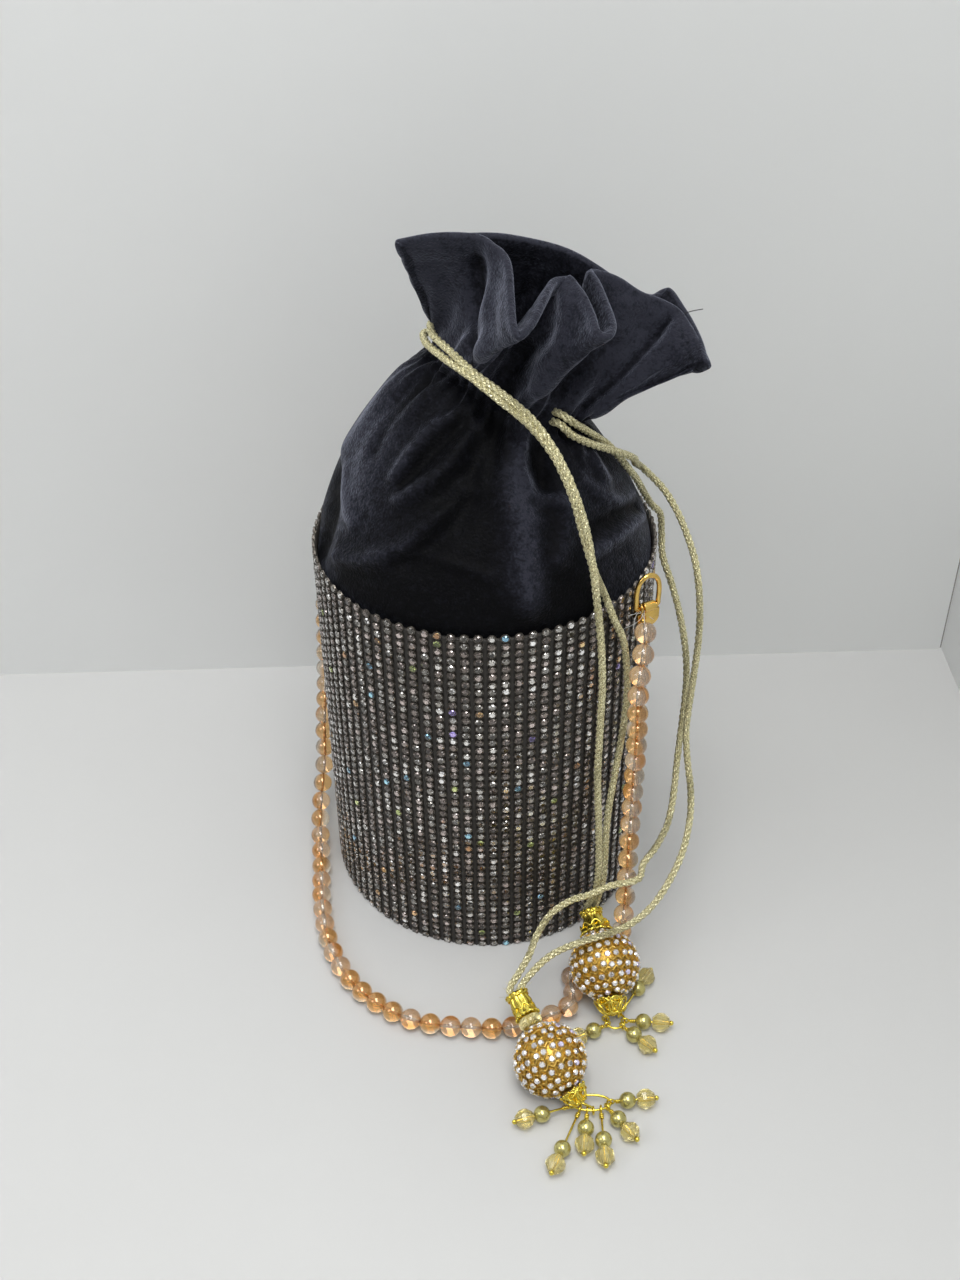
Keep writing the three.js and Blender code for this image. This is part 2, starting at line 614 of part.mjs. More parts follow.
const cordBInner = [
  [36.2, -6.3, 214.1], [38.4, 0.3, 207.8], [39.9, 4.6, 203.7], [42.2, 10.9, 197.3], [44.3, 16.3, 190.1],
  [46.4, 21.2, 182.6], [47.6, 24.6, 177.6], [48.9, 29.3, 169.8], [50.5, 34, 161.9], [52.7, 37.5, 156.6],
  [53.4, 38.8, 147.8], [55.5, 36.3, 139.1], [59.9, 34.3, 131.3], [62.6, 33.1, 125.9], [66.1, 31.6, 117.4],
  [68.9, 30.2, 108.7], [70.5, 29.1, 102.8], [72.3, 26.9, 94], [73.5, 23.9, 85.3], [74.6, 19.9, 77],
  [75.4, 16.8, 71.8], [76.9, 11.4, 64.4], [78.9, 5.2, 57.8], [80.2, 0.7, 53.8], [81.4, -6.7, 48.4],
  [80.7, -14.8, 44.1], [79, -23.1, 41.3], [80.4, -31, 41.4], [72, -37.5, 39.7], [66.3, -44.6, 38.8],
  [61.5, -48.5, 37.5], [56.5, -55.7, 34.8], [54.7, -63.8, 30.9], [55, -72.1, 26.8], [54.3, -78.3, 23.9],
  [53.8, -85.2, 21.1],
];
const cordBOuter = [
  [36.5, -7.4, 209.9], [40.6, -1.3, 204.3], [44.4, 5.7, 199.2], [47.9, 15.4, 192.2], [47.3, 23.1, 186.3],
  [44.8, 29.9, 180.5], [42.7, 37.2, 175.1], [42.9, 44.1, 169], [50.6, 46.1, 161], [57.6, 42.1, 156.3],
  [63.7, 37.5, 150.9], [69.1, 32.7, 144.9], [73, 28.4, 137.6], [75.9, 24.8, 126], [76.9, 22.8, 116.9],
  [77.4, 20.7, 107.7], [77.7, 18.4, 98.7], [78.1, 15.6, 89.7], [79.1, 12.1, 81], [82.6, 6.9, 70.3],
  [86.2, 2.3, 63], [89.1, -3.5, 56.2], [90.8, -10.4, 50.1], [91.4, -18, 44.7], [90.3, -28.9, 38.8],
  [88.1, -37.3, 35.2], [84, -45.3, 32.6], [78, -52.2, 31], [71, -58.4, 29.6], [62.5, -67, 26.7],
  [58.3, -75.7, 23.3], [57.2, -84.2, 20.9],
];

addCord('cord_a_upper', cordAUpper, 28);
addCord('cord_a_lower', cordALower, 28);
addCord('cord_b_inner', cordBInner, 40);
addCord('cord_b_outer', cordBOuter, 36);

export default model;
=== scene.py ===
# %% [markdown]
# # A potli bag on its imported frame
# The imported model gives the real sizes. This script dresses it: the camera and the cords first,
# then velvet, rhinestones, glass beads and jewelled tassels.

# %%
import json
import math

import bpy
import numpy as np
from mathutils import Matrix, Vector

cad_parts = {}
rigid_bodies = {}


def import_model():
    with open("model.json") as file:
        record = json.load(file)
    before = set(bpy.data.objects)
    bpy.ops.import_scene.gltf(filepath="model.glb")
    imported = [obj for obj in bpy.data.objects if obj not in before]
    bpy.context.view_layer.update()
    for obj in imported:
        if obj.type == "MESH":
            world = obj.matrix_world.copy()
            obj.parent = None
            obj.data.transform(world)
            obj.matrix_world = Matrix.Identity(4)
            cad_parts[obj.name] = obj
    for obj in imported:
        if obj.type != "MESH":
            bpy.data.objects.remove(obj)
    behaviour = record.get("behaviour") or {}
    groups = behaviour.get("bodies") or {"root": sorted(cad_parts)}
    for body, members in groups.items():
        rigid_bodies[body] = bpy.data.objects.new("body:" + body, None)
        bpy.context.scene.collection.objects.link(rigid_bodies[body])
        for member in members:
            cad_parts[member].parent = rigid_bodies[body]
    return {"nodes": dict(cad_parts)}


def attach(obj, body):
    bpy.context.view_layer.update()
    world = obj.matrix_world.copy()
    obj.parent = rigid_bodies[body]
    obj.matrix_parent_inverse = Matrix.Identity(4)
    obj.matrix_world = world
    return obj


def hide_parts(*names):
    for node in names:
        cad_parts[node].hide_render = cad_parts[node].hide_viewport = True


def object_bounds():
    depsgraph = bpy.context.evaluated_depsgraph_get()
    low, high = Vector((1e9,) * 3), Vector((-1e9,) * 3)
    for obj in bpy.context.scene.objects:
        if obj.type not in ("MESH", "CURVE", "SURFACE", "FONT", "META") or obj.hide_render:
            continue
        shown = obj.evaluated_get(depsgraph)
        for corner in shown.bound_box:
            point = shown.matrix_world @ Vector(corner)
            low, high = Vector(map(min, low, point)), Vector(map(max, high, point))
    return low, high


for leftover in list(bpy.data.objects):
    bpy.data.objects.remove(leftover)
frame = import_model()
cad_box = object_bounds()
rng = np.random.default_rng(7)

MM = 0.001
BODY_RADIUS = 62.5
BODY_HEIGHT = 156.0
BOARD_RADIUS = 60.4
BOARD_HEIGHT = 150.0

# %% [markdown]
# ## Camera
# Fitted to the body's cylinder: place, level right, and the way it looks.

# %%
CAMERA_SPOT = (217.7, -409.4, 478.7)
CAMERA_RIGHT = Vector((0.88470, 0.46604, -0.01035))
CAMERA_UP = Vector((-0.28551, 0.55928, 0.77826))
CAMERA_BACK = Vector((0.36849, -0.68557, 0.62786))
camera_data = bpy.data.cameras.new("camera")
camera_data.lens = 43.86
camera_data.sensor_width = 36
camera_data.clip_start = 0.01
camera = bpy.data.objects.new("camera", camera_data)
bpy.context.scene.collection.objects.link(camera)
turned = Matrix((CAMERA_RIGHT, CAMERA_UP, CAMERA_BACK)).transposed().to_4x4()
camera.matrix_world = Matrix.Translation(Vector(CAMERA_SPOT) * MM) @ turned
bpy.context.scene.camera = camera

# %% [markdown]
# ## Helpers
# Points are in millimetres until a mesh is made.


# %%
def unit(v):
    return v / np.maximum(np.linalg.norm(v, axis=-1, keepdims=True), 1e-9)


def heading(degrees, drop=0.0):
    turn, tilt = math.radians(degrees), math.radians(drop)
    return np.array([math.cos(turn) * math.cos(tilt), math.sin(turn) * math.cos(tilt), -math.sin(tilt)])


def catmull(spots, count, closed=False, per_span=24):
    """A centripetal curve through the spots, resampled at even steps."""
    p = np.array(spots, float)
    if closed:
        p = np.vstack([p[-1], p, p[0], p[1]])
    else:
        p = np.vstack([2 * p[0] - p[1], p, 2 * p[-1] - p[-2]])
    out = []
    for i in range(1, len(p) - 2):
        a, b, c, d = p[i - 1], p[i], p[i + 1], p[i + 2]
        t0 = 0.0
        t1 = t0 + max(np.linalg.norm(b - a), 1e-6) ** 0.5
        t2 = t1 + max(np.linalg.norm(c - b), 1e-6) ** 0.5
        t3 = t2 + max(np.linalg.norm(d - c), 1e-6) ** 0.5
        t = np.linspace(t1, t2, per_span, endpoint=False)[:, None]
        a1 = (t1 - t) / (t1 - t0) * a + (t - t0) / (t1 - t0) * b
        a2 = (t2 - t) / (t2 - t1) * b + (t - t1) / (t2 - t1) * c
        a3 = (t3 - t) / (t3 - t2) * c + (t - t2) / (t3 - t2) * d
        b1 = (t2 - t) / (t2 - t0) * a1 + (t - t0) / (t2 - t0) * a2
        b2 = (t3 - t) / (t3 - t1) * a2 + (t - t1) / (t3 - t1) * a3
        out.append((t2 - t) / (t2 - t1) * b1 + (t - t1) / (t2 - t1) * b2)
    line = np.vstack(out + [p[-2][None]])
    return resample(line, count, closed)


def resample(line, count, closed=False):
    run = np.r_[0, np.cumsum(np.linalg.norm(np.diff(line, axis=0), axis=1))]
    at = np.linspace(0, run[-1], count, endpoint=not closed)
    return np.stack([np.interp(at, run, line[:, k]) for k in range(3)], 1)


def carried_frames(line, closed=False):
    """Two side directions carried along a line without twist."""
    forward = np.gradient(line, axis=0)
    if closed:
        forward = np.roll(line, -1, 0) - np.roll(line, 1, 0)
    forward = unit(forward)
    side = np.cross(forward[0], [0.1, 0.2, 1.0])
    sides = []
    for direction in forward:
        side = side - direction * side.dot(direction)
        side = side / np.linalg.norm(side)
        sides.append(side)
    sides = np.array(sides)
    return sides, np.cross(forward, sides)


def new_object(name, points, faces, material, smooth=True, uv=None):
    mesh = bpy.data.meshes.new(name)
    mesh.from_pydata((np.asarray(points, float) * MM).tolist(), [], faces)
    mesh.materials.append(material)
    if uv is not None:
        layer = mesh.uv_layers.new(name="along")
        loops = np.zeros(len(mesh.loops), np.int32)
        mesh.loops.foreach_get("vertex_index", loops)
        layer.data.foreach_set("uv", np.asarray(uv, np.float32)[loops].ravel())
    mesh.polygons.foreach_set("use_smooth", [smooth] * len(mesh.polygons))
    mesh.update()
    obj = bpy.data.objects.new(name, mesh)
    bpy.context.scene.collection.objects.link(obj)
    return obj


def grid_faces(rows, columns, wrap_rows=False):
    """Faces between rows of points that each close round on themselves."""
    faces = []
    for r in range(rows if wrap_rows else rows - 1):
        here, above = r * columns, ((r + 1) % rows) * columns
        for c in range(columns):
            beside = (c + 1) % columns
            faces.append((here + c, here + beside, above + beside, above + c))
    return faces


def arc_outline(radius, first, rings):
    """Half a circle as (radius, height) spots, open by the angle first at both ends."""
    return [(radius * math.sin(a), -radius * math.cos(a)) for a in np.linspace(first, math.pi - first, rings)]


def loop_line(centre, across_a, across_b, radius, count=26):
    turn = np.linspace(0, 2 * math.pi, count, endpoint=False)[:, None]
    return centre + radius * (np.cos(turn) * across_a + np.sin(turn) * across_b)


def belongs(obj, slot_name, body="bag", nodes=()):
    """Says which CAD nodes a piece stands for and which body carries it; its slot name is not used."""
    if nodes:
        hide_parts(*nodes)
    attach(obj, body)
    return obj


class Pile:
    """Gathers many small closed shapes into one mesh."""

    def __init__(self):
        self.points, self.faces, self.uv, self.count = [], [], [], 0

    def put(self, points, faces, uv=None):
        points = np.asarray(points, float)
        self.points.append(points)
        self.faces += [tuple(i + self.count for i in face) for face in faces]
        self.uv.append(np.zeros((len(points), 2)) if uv is None else np.asarray(uv, float))
        self.count += len(points)

    def tube(self, line, radius, sides=8, closed=False):
        line = np.asarray(line, float)
        side, up = carried_frames(line, closed)
        angle = np.arange(sides) / sides * 2 * math.pi
        radius = np.broadcast_to(np.asarray(radius, float), (len(line),))
        around = np.cos(angle)[None, :, None] * side[:, None] + np.sin(angle)[None, :, None] * up[:, None]
        points = line[:, None] + radius[:, None, None] * around
        faces = grid_faces(len(line), sides, wrap_rows=closed)
        run = np.r_[0, np.cumsum(np.linalg.norm(np.diff(line, axis=0), axis=1))]
        uv = np.stack(np.broadcast_arrays(run[:, None], angle[None] / (2 * math.pi)), -1)
        if not closed:
            last = (len(line) - 1) * sides
            faces.append(tuple(range(sides))[::-1])
            faces.append(tuple(last + k for k in range(sides)))
        self.put(points.reshape(-1, 3), faces, uv.reshape(-1, 2))

    def turned(self, outline, centre, axis, segments=24, wave=None):
        """An outline of (radius, height) turned about an axis. wave(angle, height) scales the radius."""
        outline = np.array(outline, float)
        axis = unit(np.array(axis, float))
        side = unit(np.cross(axis, [0.13, 0.21, 1.0] if abs(axis[2]) < 0.9 else [1.0, 0.2, 0.1]))
        up = np.cross(axis, side)
        angle = np.arange(segments) / segments * 2 * math.pi
        scale = np.ones((len(outline), segments))
        if wave is not None:
            scale = wave(angle[None, :], outline[:, 1][:, None])
        radius = outline[:, 0][:, None] * scale
        around = np.cos(angle)[None, :, None] * side + np.sin(angle)[None, :, None] * up
        points = np.asarray(centre) + radius[..., None] * around + outline[:, 1][:, None, None] * axis
        closed = outline[0, 0] > 0.01
        self.put(points.reshape(-1, 3), grid_faces(len(outline), segments, wrap_rows=closed))

    def ball(self, centre, radius, segments=10, rings=7):
        outline = arc_outline(radius, 0.001, rings)
        self.turned([(max(r, 1e-4), h) for r, h in outline], centre, (0, 0, 1), segments)

    def make(self, name, material, smooth=True):
        return new_object(name, np.vstack(self.points), self.faces, material, smooth, np.vstack(self.uv))


# %% [markdown]
# ## Materials
# Shared effects are node groups.


# %%
def socket_set(node, **values):
    for name, value in values.items():
        node.inputs[name.replace("_", " ")].default_value = value


def material_of(name):
    material = bpy.data.materials.new(name)
    material.use_nodes = True
    tree = material.node_tree
    return material, tree, tree.nodes["Principled BSDF"]


def join(tree, start, finish):
    tree.links.new(start, finish)


def grey(value):
    return (value, value, value, 1)


def sockets(group, direction, **kinds):
    for name, kind in kinds.items():
        group.interface.new_socket(name, in_out=direction, socket_type="NodeSocket" + kind)


def shade(tree, kind, **settings):
    node = tree.nodes.new(kind)
    for name, value in settings.items():
        setattr(node, name, value)
    return node


def ramp(tree, source, stops):
    node = shade(tree, "ShaderNodeValToRGB")
    band = node.color_ramp
    band.elements[0].position, band.elements[0].color = stops[0][0], stops[0][1]
    band.elements[1].position, band.elements[1].color = stops[-1][0], stops[-1][1]
    for position, color in stops[1:-1]:
        band.elements.new(position).color = color
    join(tree, source, node.inputs["Fac"])
    return node.outputs["Color"]


def grain_group():
    """Fine bump and a 0..1 speckle in object coordinates."""
    group = bpy.data.node_groups.new("grain", "ShaderNodeTree")
    sockets(group, "INPUT", Scale="Float", Strength="Float", Depth="Float")
    sockets(group, "OUTPUT", Normal="Vector", Speckle="Float")
    start = group.nodes.new("NodeGroupInput")
    finish = group.nodes.new("NodeGroupOutput")
    where = group.nodes.new("ShaderNodeTexCoord")
    noise = group.nodes.new("ShaderNodeTexNoise")
    noise.inputs["Detail"].default_value = 3
    bump = group.nodes.new("ShaderNodeBump")
    join(group, where.outputs["Object"], noise.inputs["Vector"])
    join(group, start.outputs["Scale"], noise.inputs["Scale"])
    join(group, start.outputs["Strength"], bump.inputs["Strength"])
    join(group, start.outputs["Depth"], bump.inputs["Distance"])
    join(group, noise.outputs["Fac"], bump.inputs["Height"])
    join(group, bump.outputs["Normal"], finish.inputs["Normal"])
    join(group, noise.outputs["Fac"], finish.inputs["Speckle"])
    return group


GRAIN = grain_group()


def grain(tree, scale, strength, depth=0.0002):
    node = tree.nodes.new("ShaderNodeGroup")
    node.node_tree = GRAIN
    socket_set(node, Scale=scale, Strength=strength, Depth=depth)
    return node


def velvet_material():
    """Near-black pile with painted light and shade: paler on painted highlights, darker in painted shade, with a
    fibre grain of two sizes.
    """
    material, tree, skin = material_of("velvet")
    fibre = grain(tree, 1150, 0.9, 0.0005)
    clump = grain(tree, 420, 0.5, 0.0006)
    # The per-point painted light and shade: painted highlights on ridges, ruffle and hem, painted shade in creases
    # and low on the front.
    painted_light = shade(tree, "ShaderNodeAttribute", attribute_name="painted_light")
    speckle = shade(tree, "ShaderNodeMath", operation="ADD")
    join(tree, fibre.outputs["Speckle"], speckle.inputs[0])
    join(tree, clump.outputs["Speckle"], speckle.inputs[1])
    spread = shade(tree, "ShaderNodeMath", operation="MULTIPLY_ADD")
    join(tree, speckle.outputs[0], spread.inputs[0])
    spread.inputs[1].default_value = 0.9
    spread.inputs[2].default_value = -0.9
    level = shade(tree, "ShaderNodeMath", operation="ADD")
    join(tree, painted_light.outputs["Fac"], level.inputs[0])
    join(tree, spread.outputs[0], level.inputs[1])
    # Base colour from the painted light and shade plus the fibre speckle, from near black to a pale blue-grey.
    grain_and_painted_light = ramp(tree, level.outputs[0], [
        (0.0, (0.0009, 0.0010, 0.0015, 1)), (0.4, (0.0033, 0.0035, 0.0056, 1)),
        (0.75, (0.0105, 0.0110, 0.0165, 1)), (1.0, (0.023, 0.024, 0.034, 1))])
    join(tree, grain_and_painted_light, skin.inputs["Base Color"])
    # The sheen weight follows the same painted light, so the painted highlights get more sheen.
    pile = ramp(tree, level.outputs[0], [(0.05, grey(0.01)), (0.5, grey(0.14)), (1.0, grey(0.50))])
    join(tree, pile, skin.inputs["Sheen Weight"])
    join(tree, fibre.outputs["Normal"], skin.inputs["Normal"])
    socket_set(skin, Roughness=0.6, Specular_IOR_Level=0.08)
    socket_set(skin, Sheen_Roughness=0.45, Sheen_Tint=(0.62, 0.66, 0.82, 1))
    return material


def plain(name, color, roughness, metallic=0.0, scale=600, strength=0.1, shade_of=0.82):
    """One colour, mottled down to a share of itself, with a fine bump."""
    material, tree, skin = material_of(name)
    fine = grain(tree, scale, strength)
    join(tree, fine.outputs["Normal"], skin.inputs["Normal"])
    dark = tuple(c * shade_of for c in color)
    tone = ramp(tree, fine.outputs["Speckle"], [(0.3, (*dark, 1)), (0.7, (*color, 1))])
    join(tree, tone, skin.inputs["Base Color"])
    socket_set(skin, Roughness=roughness, Metallic=metallic)
    return material


def cord_material():
    material, tree, skin = material_of("metallic_cord")
    where = shade(tree, "ShaderNodeUVMap", uv_map="along")
    wave = shade(tree, "ShaderNodeTexWave", wave_type="BANDS", bands_direction="DIAGONAL")
    socket_set(wave, Scale=1.0, Distortion=0.6, Detail=1.0)
    stretch = shade(tree, "ShaderNodeMapping")
    stretch.inputs["Scale"].default_value = (0.55, 2.4, 1)
    join(tree, where.outputs["UV"], stretch.inputs["Vector"])
    join(tree, stretch.outputs["Vector"], wave.inputs["Vector"])
    bump = shade(tree, "ShaderNodeBump")
    socket_set(bump, Strength=0.8, Distance=0.00025)
    join(tree, wave.outputs["Fac"], bump.inputs["Height"])
    fine = grain(tree, 2600, 0.7, 0.0002)
    join(tree, bump.outputs["Normal"], skin.inputs["Normal"])
    tone = ramp(tree, fine.outputs["Speckle"], [
        (0.34, (0.20, 0.17, 0.075, 1)), (0.5, (0.68, 0.62, 0.35, 1)), (0.64, (1.0, 0.96, 0.66, 1))])
    join(tree, tone, skin.inputs["Base Color"])
    socket_set(skin, Roughness=0.34, Metallic=0.55)
    return material


def facet_group():
    """A random value for each flat facet, from the way that it faces and from the stone's own value."""
    group = bpy.data.node_groups.new("facet", "ShaderNodeTree")
    sockets(group, "INPUT", Own="Float")
    sockets(group, "OUTPUT", Facet="Float")
    start = group.nodes.new("NodeGroupInput")
    finish = group.nodes.new("NodeGroupOutput")
    faces = group.nodes.new("ShaderNodeNewGeometry")
    coarse = group.nodes.new("ShaderNodeVectorMath")
    coarse.operation = "SNAP"
    coarse.inputs[1].default_value = (0.02, 0.02, 0.02)
    random = group.nodes.new("ShaderNodeTexWhiteNoise")
    random.noise_dimensions = "4D"
    join(group, faces.outputs["True Normal"], coarse.inputs[0])
    join(group, coarse.outputs[0], random.inputs["Vector"])
    join(group, start.outputs["Own"], random.inputs["W"])
    join(group, random.outputs["Value"], finish.inputs["Facet"])
    return group


FACET = facet_group()


def spark_material(name, stops, glint_and_fire_stops, roughness, metallic):
    """A cut stone with painted glints: every facet has its own tone as a painted reflection, each stone's own
    value scales it, some above one for painted sparkle, and a few stones get a coloured painted fire.
    """
    material, tree, skin = material_of(name)
    own = shade(tree, "ShaderNodeAttribute", attribute_name="spark")
    facet = tree.nodes.new("ShaderNodeGroup")
    facet.node_tree = FACET
    join(tree, own.outputs["Fac"], facet.inputs["Own"])
    # Painted reflections: a tone for each facet, from dark to white.
    tone = ramp(tree, facet.outputs["Facet"], stops)
    # Painted sparkle: each stone's brightness, above one for many, and a few stones with coloured painted fire.
    glint_and_fire = ramp(tree, own.outputs["Fac"], glint_and_fire_stops)
    tree.nodes[-1].color_ramp.interpolation = "CONSTANT"
    mix = shade(tree, "ShaderNodeMix", data_type="RGBA", blend_type="MULTIPLY")
    mix.inputs["Factor"].default_value = 1.0
    join(tree, tone, mix.inputs[6])
    join(tree, glint_and_fire, mix.inputs[7])
    join(tree, mix.outputs[2], skin.inputs["Base Color"])
    socket_set(skin, Roughness=roughness, Metallic=metallic, Coat_Weight=1.0, Coat_Roughness=0.02)
    return material


def peach_material():
    material, tree, skin = material_of("peach_glass")
    own = shade(tree, "ShaderNodeAttribute", attribute_name="plating")
    plate = ramp(tree, own.outputs["Fac"], [(0.40, grey(0)), (0.62, grey(1))])
    tone = ramp(tree, own.outputs["Fac"], [(0.35, (1.0, 0.91, 0.76, 1)), (0.65, (1.0, 0.50, 0.13, 1))])
    join(tree, tone, skin.inputs["Base Color"])
    part = shade(tree, "ShaderNodeMath", operation="MULTIPLY")
    join(tree, plate, part.inputs[0])
    part.inputs[1].default_value = 0.16
    join(tree, part.outputs[0], skin.inputs["Metallic"])
    socket_set(skin, Roughness=0.03, IOR=1.5, Transmission_Weight=0.86, Coat_Weight=0.8, Coat_Roughness=0.02)
    return material


def glass(name, color, roughness=0.05, through=0.8):
    material, tree, skin = material_of(name)
    fine = grain(tree, 300, 0.05)
    join(tree, fine.outputs["Normal"], skin.inputs["Normal"])
    socket_set(skin, Base_Color=(*color, 1), Roughness=roughness, IOR=1.55, Transmission_Weight=through)
    return material


VELVET = velvet_material()
SATIN = plain("satin", (0.012, 0.012, 0.014), 0.42, strength=0.15)
BOARD = plain("board", (0.035, 0.034, 0.033), 0.85)
NET = plain("net", (0.032, 0.028, 0.024), 0.55, metallic=0.3, scale=2200, strength=0.6)
CUP = plain("cup", (0.20, 0.18, 0.155), 0.32, metallic=0.85, scale=1800, strength=0.2)
# Banding stones: facet tones and per-stone multipliers paint in the glints and coloured fire.
STONE = spark_material(
    "stone",
    [(0.0, (0.022, 0.02, 0.018, 1)), (0.45, (0.12, 0.112, 0.10, 1)), (0.74, (0.46, 0.44, 0.41, 1)),
     (0.84, grey(1))],
    [(0.0, (0.62, 0.53, 0.50, 1)), (0.5, (0.9, 0.88, 0.85, 1)), (0.86, grey(1.5)),
     (0.965, (1.6, 0.9, 0.45, 1)), (0.975, (1.1, 1.4, 0.5, 1)), (0.985, (0.75, 0.6, 1.7, 1)),
     (0.992, (0.55, 1.1, 1.7, 1))],
    0.09, 0.7)
# Tassel-ball stones: paler facet tones as painted glints.
CLEAR_STONE = spark_material(
    "clear_stone",
    [(0.0, (0.16, 0.13, 0.11, 1)), (0.3, (0.58, 0.55, 0.54, 1)), (0.55, (1, 1, 1, 1))],
    [(0.0, (1, 1, 1, 1)), (0.5, (1.05, 1.05, 1.05, 1)), (0.93, (0.85, 0.8, 1.1, 1))],
    0.08, 0.45)
GOLD = plain("gold", (0.90, 0.60, 0.17), 0.20, metallic=1.0, scale=500, strength=0.08)
ROUGH_GOLD = plain(
    "glitter_gold", (0.88, 0.58, 0.13), 0.30, metallic=0.8, scale=900, strength=1.0, shade_of=0.35)
LEMON_GOLD = plain("lemon_gold", (0.94, 0.76, 0.13), 0.17, metallic=1.0, scale=500, strength=0.08)
AMBER = plain("glitter", (0.80, 0.47, 0.07), 0.30, metallic=0.6, scale=620, strength=1.0, shade_of=0.16)
PEARL = plain("pearl", (0.62, 0.56, 0.22), 0.24, metallic=0.8, scale=500, strength=0.05)
CRYSTAL = glass("amber_glass", (1.0, 0.89, 0.44), 0.03, 0.84)
PEACH = peach_material()
CORD = cord_material()
THREAD = plain("thread", (0.02, 0.02, 0.022), 0.8)
PALE_THREAD = plain("pale_thread", (0.75, 0.75, 0.72), 0.8)
STRING = plain("string", (0.16, 0.10, 0.07), 0.7)


# %% [markdown]
# ## Repeats
# One Geometry Nodes tree sets a small part on every point of a mesh, facing the way that the
# point says, with its own spin, its own slight tilt and its own random value.


# %%
def repeat_tree():
    tree = bpy.data.node_groups.new("repeat", "GeometryNodeTree")
    sockets(tree, "INPUT", Points="Geometry", Part="Object", Material="Material", Spin="Float", Tilt="Float",
            Seed="Int")
    sockets(tree, "OUTPUT", Geometry="Geometry")
    start = tree.nodes.new("NodeGroupInput")
    finish = tree.nodes.new("NodeGroupOutput")
    part = tree.nodes.new("GeometryNodeObjectInfo")
    onto = tree.nodes.new("GeometryNodeInstanceOnPoints")
    way = shade(tree, "GeometryNodeInputNamedAttribute", data_type="FLOAT_VECTOR")
    way.inputs["Name"].default_value = "facing"
    align = shade(tree, "FunctionNodeAlignRotationToVector", axis="Z")
    spin = shade(tree, "FunctionNodeRandomValue", data_type="FLOAT_VECTOR")
    low = tree.nodes.new("ShaderNodeCombineXYZ")
    high = tree.nodes.new("ShaderNodeCombineXYZ")
    for axis, name in (("X", "Tilt"), ("Y", "Tilt"), ("Z", "Spin")):
        minus = shade(tree, "ShaderNodeMath", operation="MULTIPLY")
        minus.inputs[1].default_value = -1
        join(tree, start.outputs[name], minus.inputs[0])
        join(tree, minus.outputs[0], low.inputs[axis])
        join(tree, start.outputs[name], high.inputs[axis])
    join(tree, low.outputs[0], spin.inputs["Min"])
    join(tree, high.outputs[0], spin.inputs["Max"])
    join(tree, start.outputs["Seed"], spin.inputs["Seed"])
    own_turn = tree.nodes.new("FunctionNodeEulerToRotation")
    join(tree, spin.outputs["Value"], own_turn.inputs[0])
    turn = shade(tree, "FunctionNodeRotateRotation", rotation_space="LOCAL")
    join(tree, way.outputs["Attribute"], align.inputs["Vector"])
    join(tree, align.outputs["Rotation"], turn.inputs["Rotation"])
    join(tree, own_turn.outputs[0], turn.inputs["Rotate By"])
    join(tree, start.outputs["Points"], onto.inputs["Points"])
    join(tree, start.outputs["Part"], part.inputs["Object"])
    join(tree, part.outputs["Geometry"], onto.inputs["Instance"])
    join(tree, turn.outputs[0], onto.inputs["Rotation"])
    spark = shade(tree, "FunctionNodeRandomValue", data_type="FLOAT")
    join(tree, start.outputs["Seed"], spark.inputs["Seed"])
    store = shade(tree, "GeometryNodeStoreNamedAttribute", data_type="FLOAT", domain="INSTANCE")
    store.inputs["Name"].default_value = "spark"
    join(tree, onto.outputs["Instances"], store.inputs["Geometry"])
    join(tree, next(o for o in spark.outputs if o.enabled and o.type == "VALUE"), store.inputs["Value"])
    real = tree.nodes.new("GeometryNodeRealizeInstances")
    join(tree, store.outputs["Geometry"], real.inputs["Geometry"])
    paint = tree.nodes.new("GeometryNodeSetMaterial")
    join(tree, real.outputs["Geometry"], paint.inputs["Geometry"])
    join(tree, start.outputs["Material"], paint.inputs["Material"])
    join(tree, paint.outputs["Geometry"], finish.inputs["Geometry"])
    return tree


REPEAT = repeat_tree()


def repeat(name, spots, facings, part, material, spin=math.pi, tilt=0.0, seed=1):
    """The small part, set on each spot and facing its way, as one mesh."""
    mesh = bpy.data.meshes.new(name + "_spots")
    mesh.from_pydata((np.asarray(spots, float) * MM).tolist(), [], [])
    facing = mesh.attributes.new("facing", "FLOAT_VECTOR", "POINT")
    facing.data.foreach_set("vector", np.asarray(facings, np.float32).ravel())
    carrier = bpy.data.objects.new(name + "_spots", mesh)
    bpy.context.scene.collection.objects.link(carrier)
    modifier = carrier.modifiers.new("repeat", "NODES")
    modifier.node_group = REPEAT
    chosen = {"Part": part, "Material": material, "Spin": spin, "Tilt": tilt, "Seed": seed}
    for item in REPEAT.interface.items_tree:
        if item.name in chosen:
            modifier[item.identifier] = chosen[item.name]
    bpy.context.view_layer.update()
    seen = carrier.evaluated_get(bpy.context.evaluated_depsgraph_get())
    made = bpy.data.meshes.new_from_object(seen)
    bpy.data.objects.remove(carrier)
    obj = bpy.data.objects.new(name, made)
    bpy.context.scene.collection.objects.link(obj)
    return obj


def part_of(name, pile, material, smooth=False):
    """A small part kept out of the picture, for the repeats."""
    obj = pile.make(name, material, smooth)
    obj.hide_render = True
    return obj


# %% [markdown]
# ## The cords, from the places that the CAD part gives them

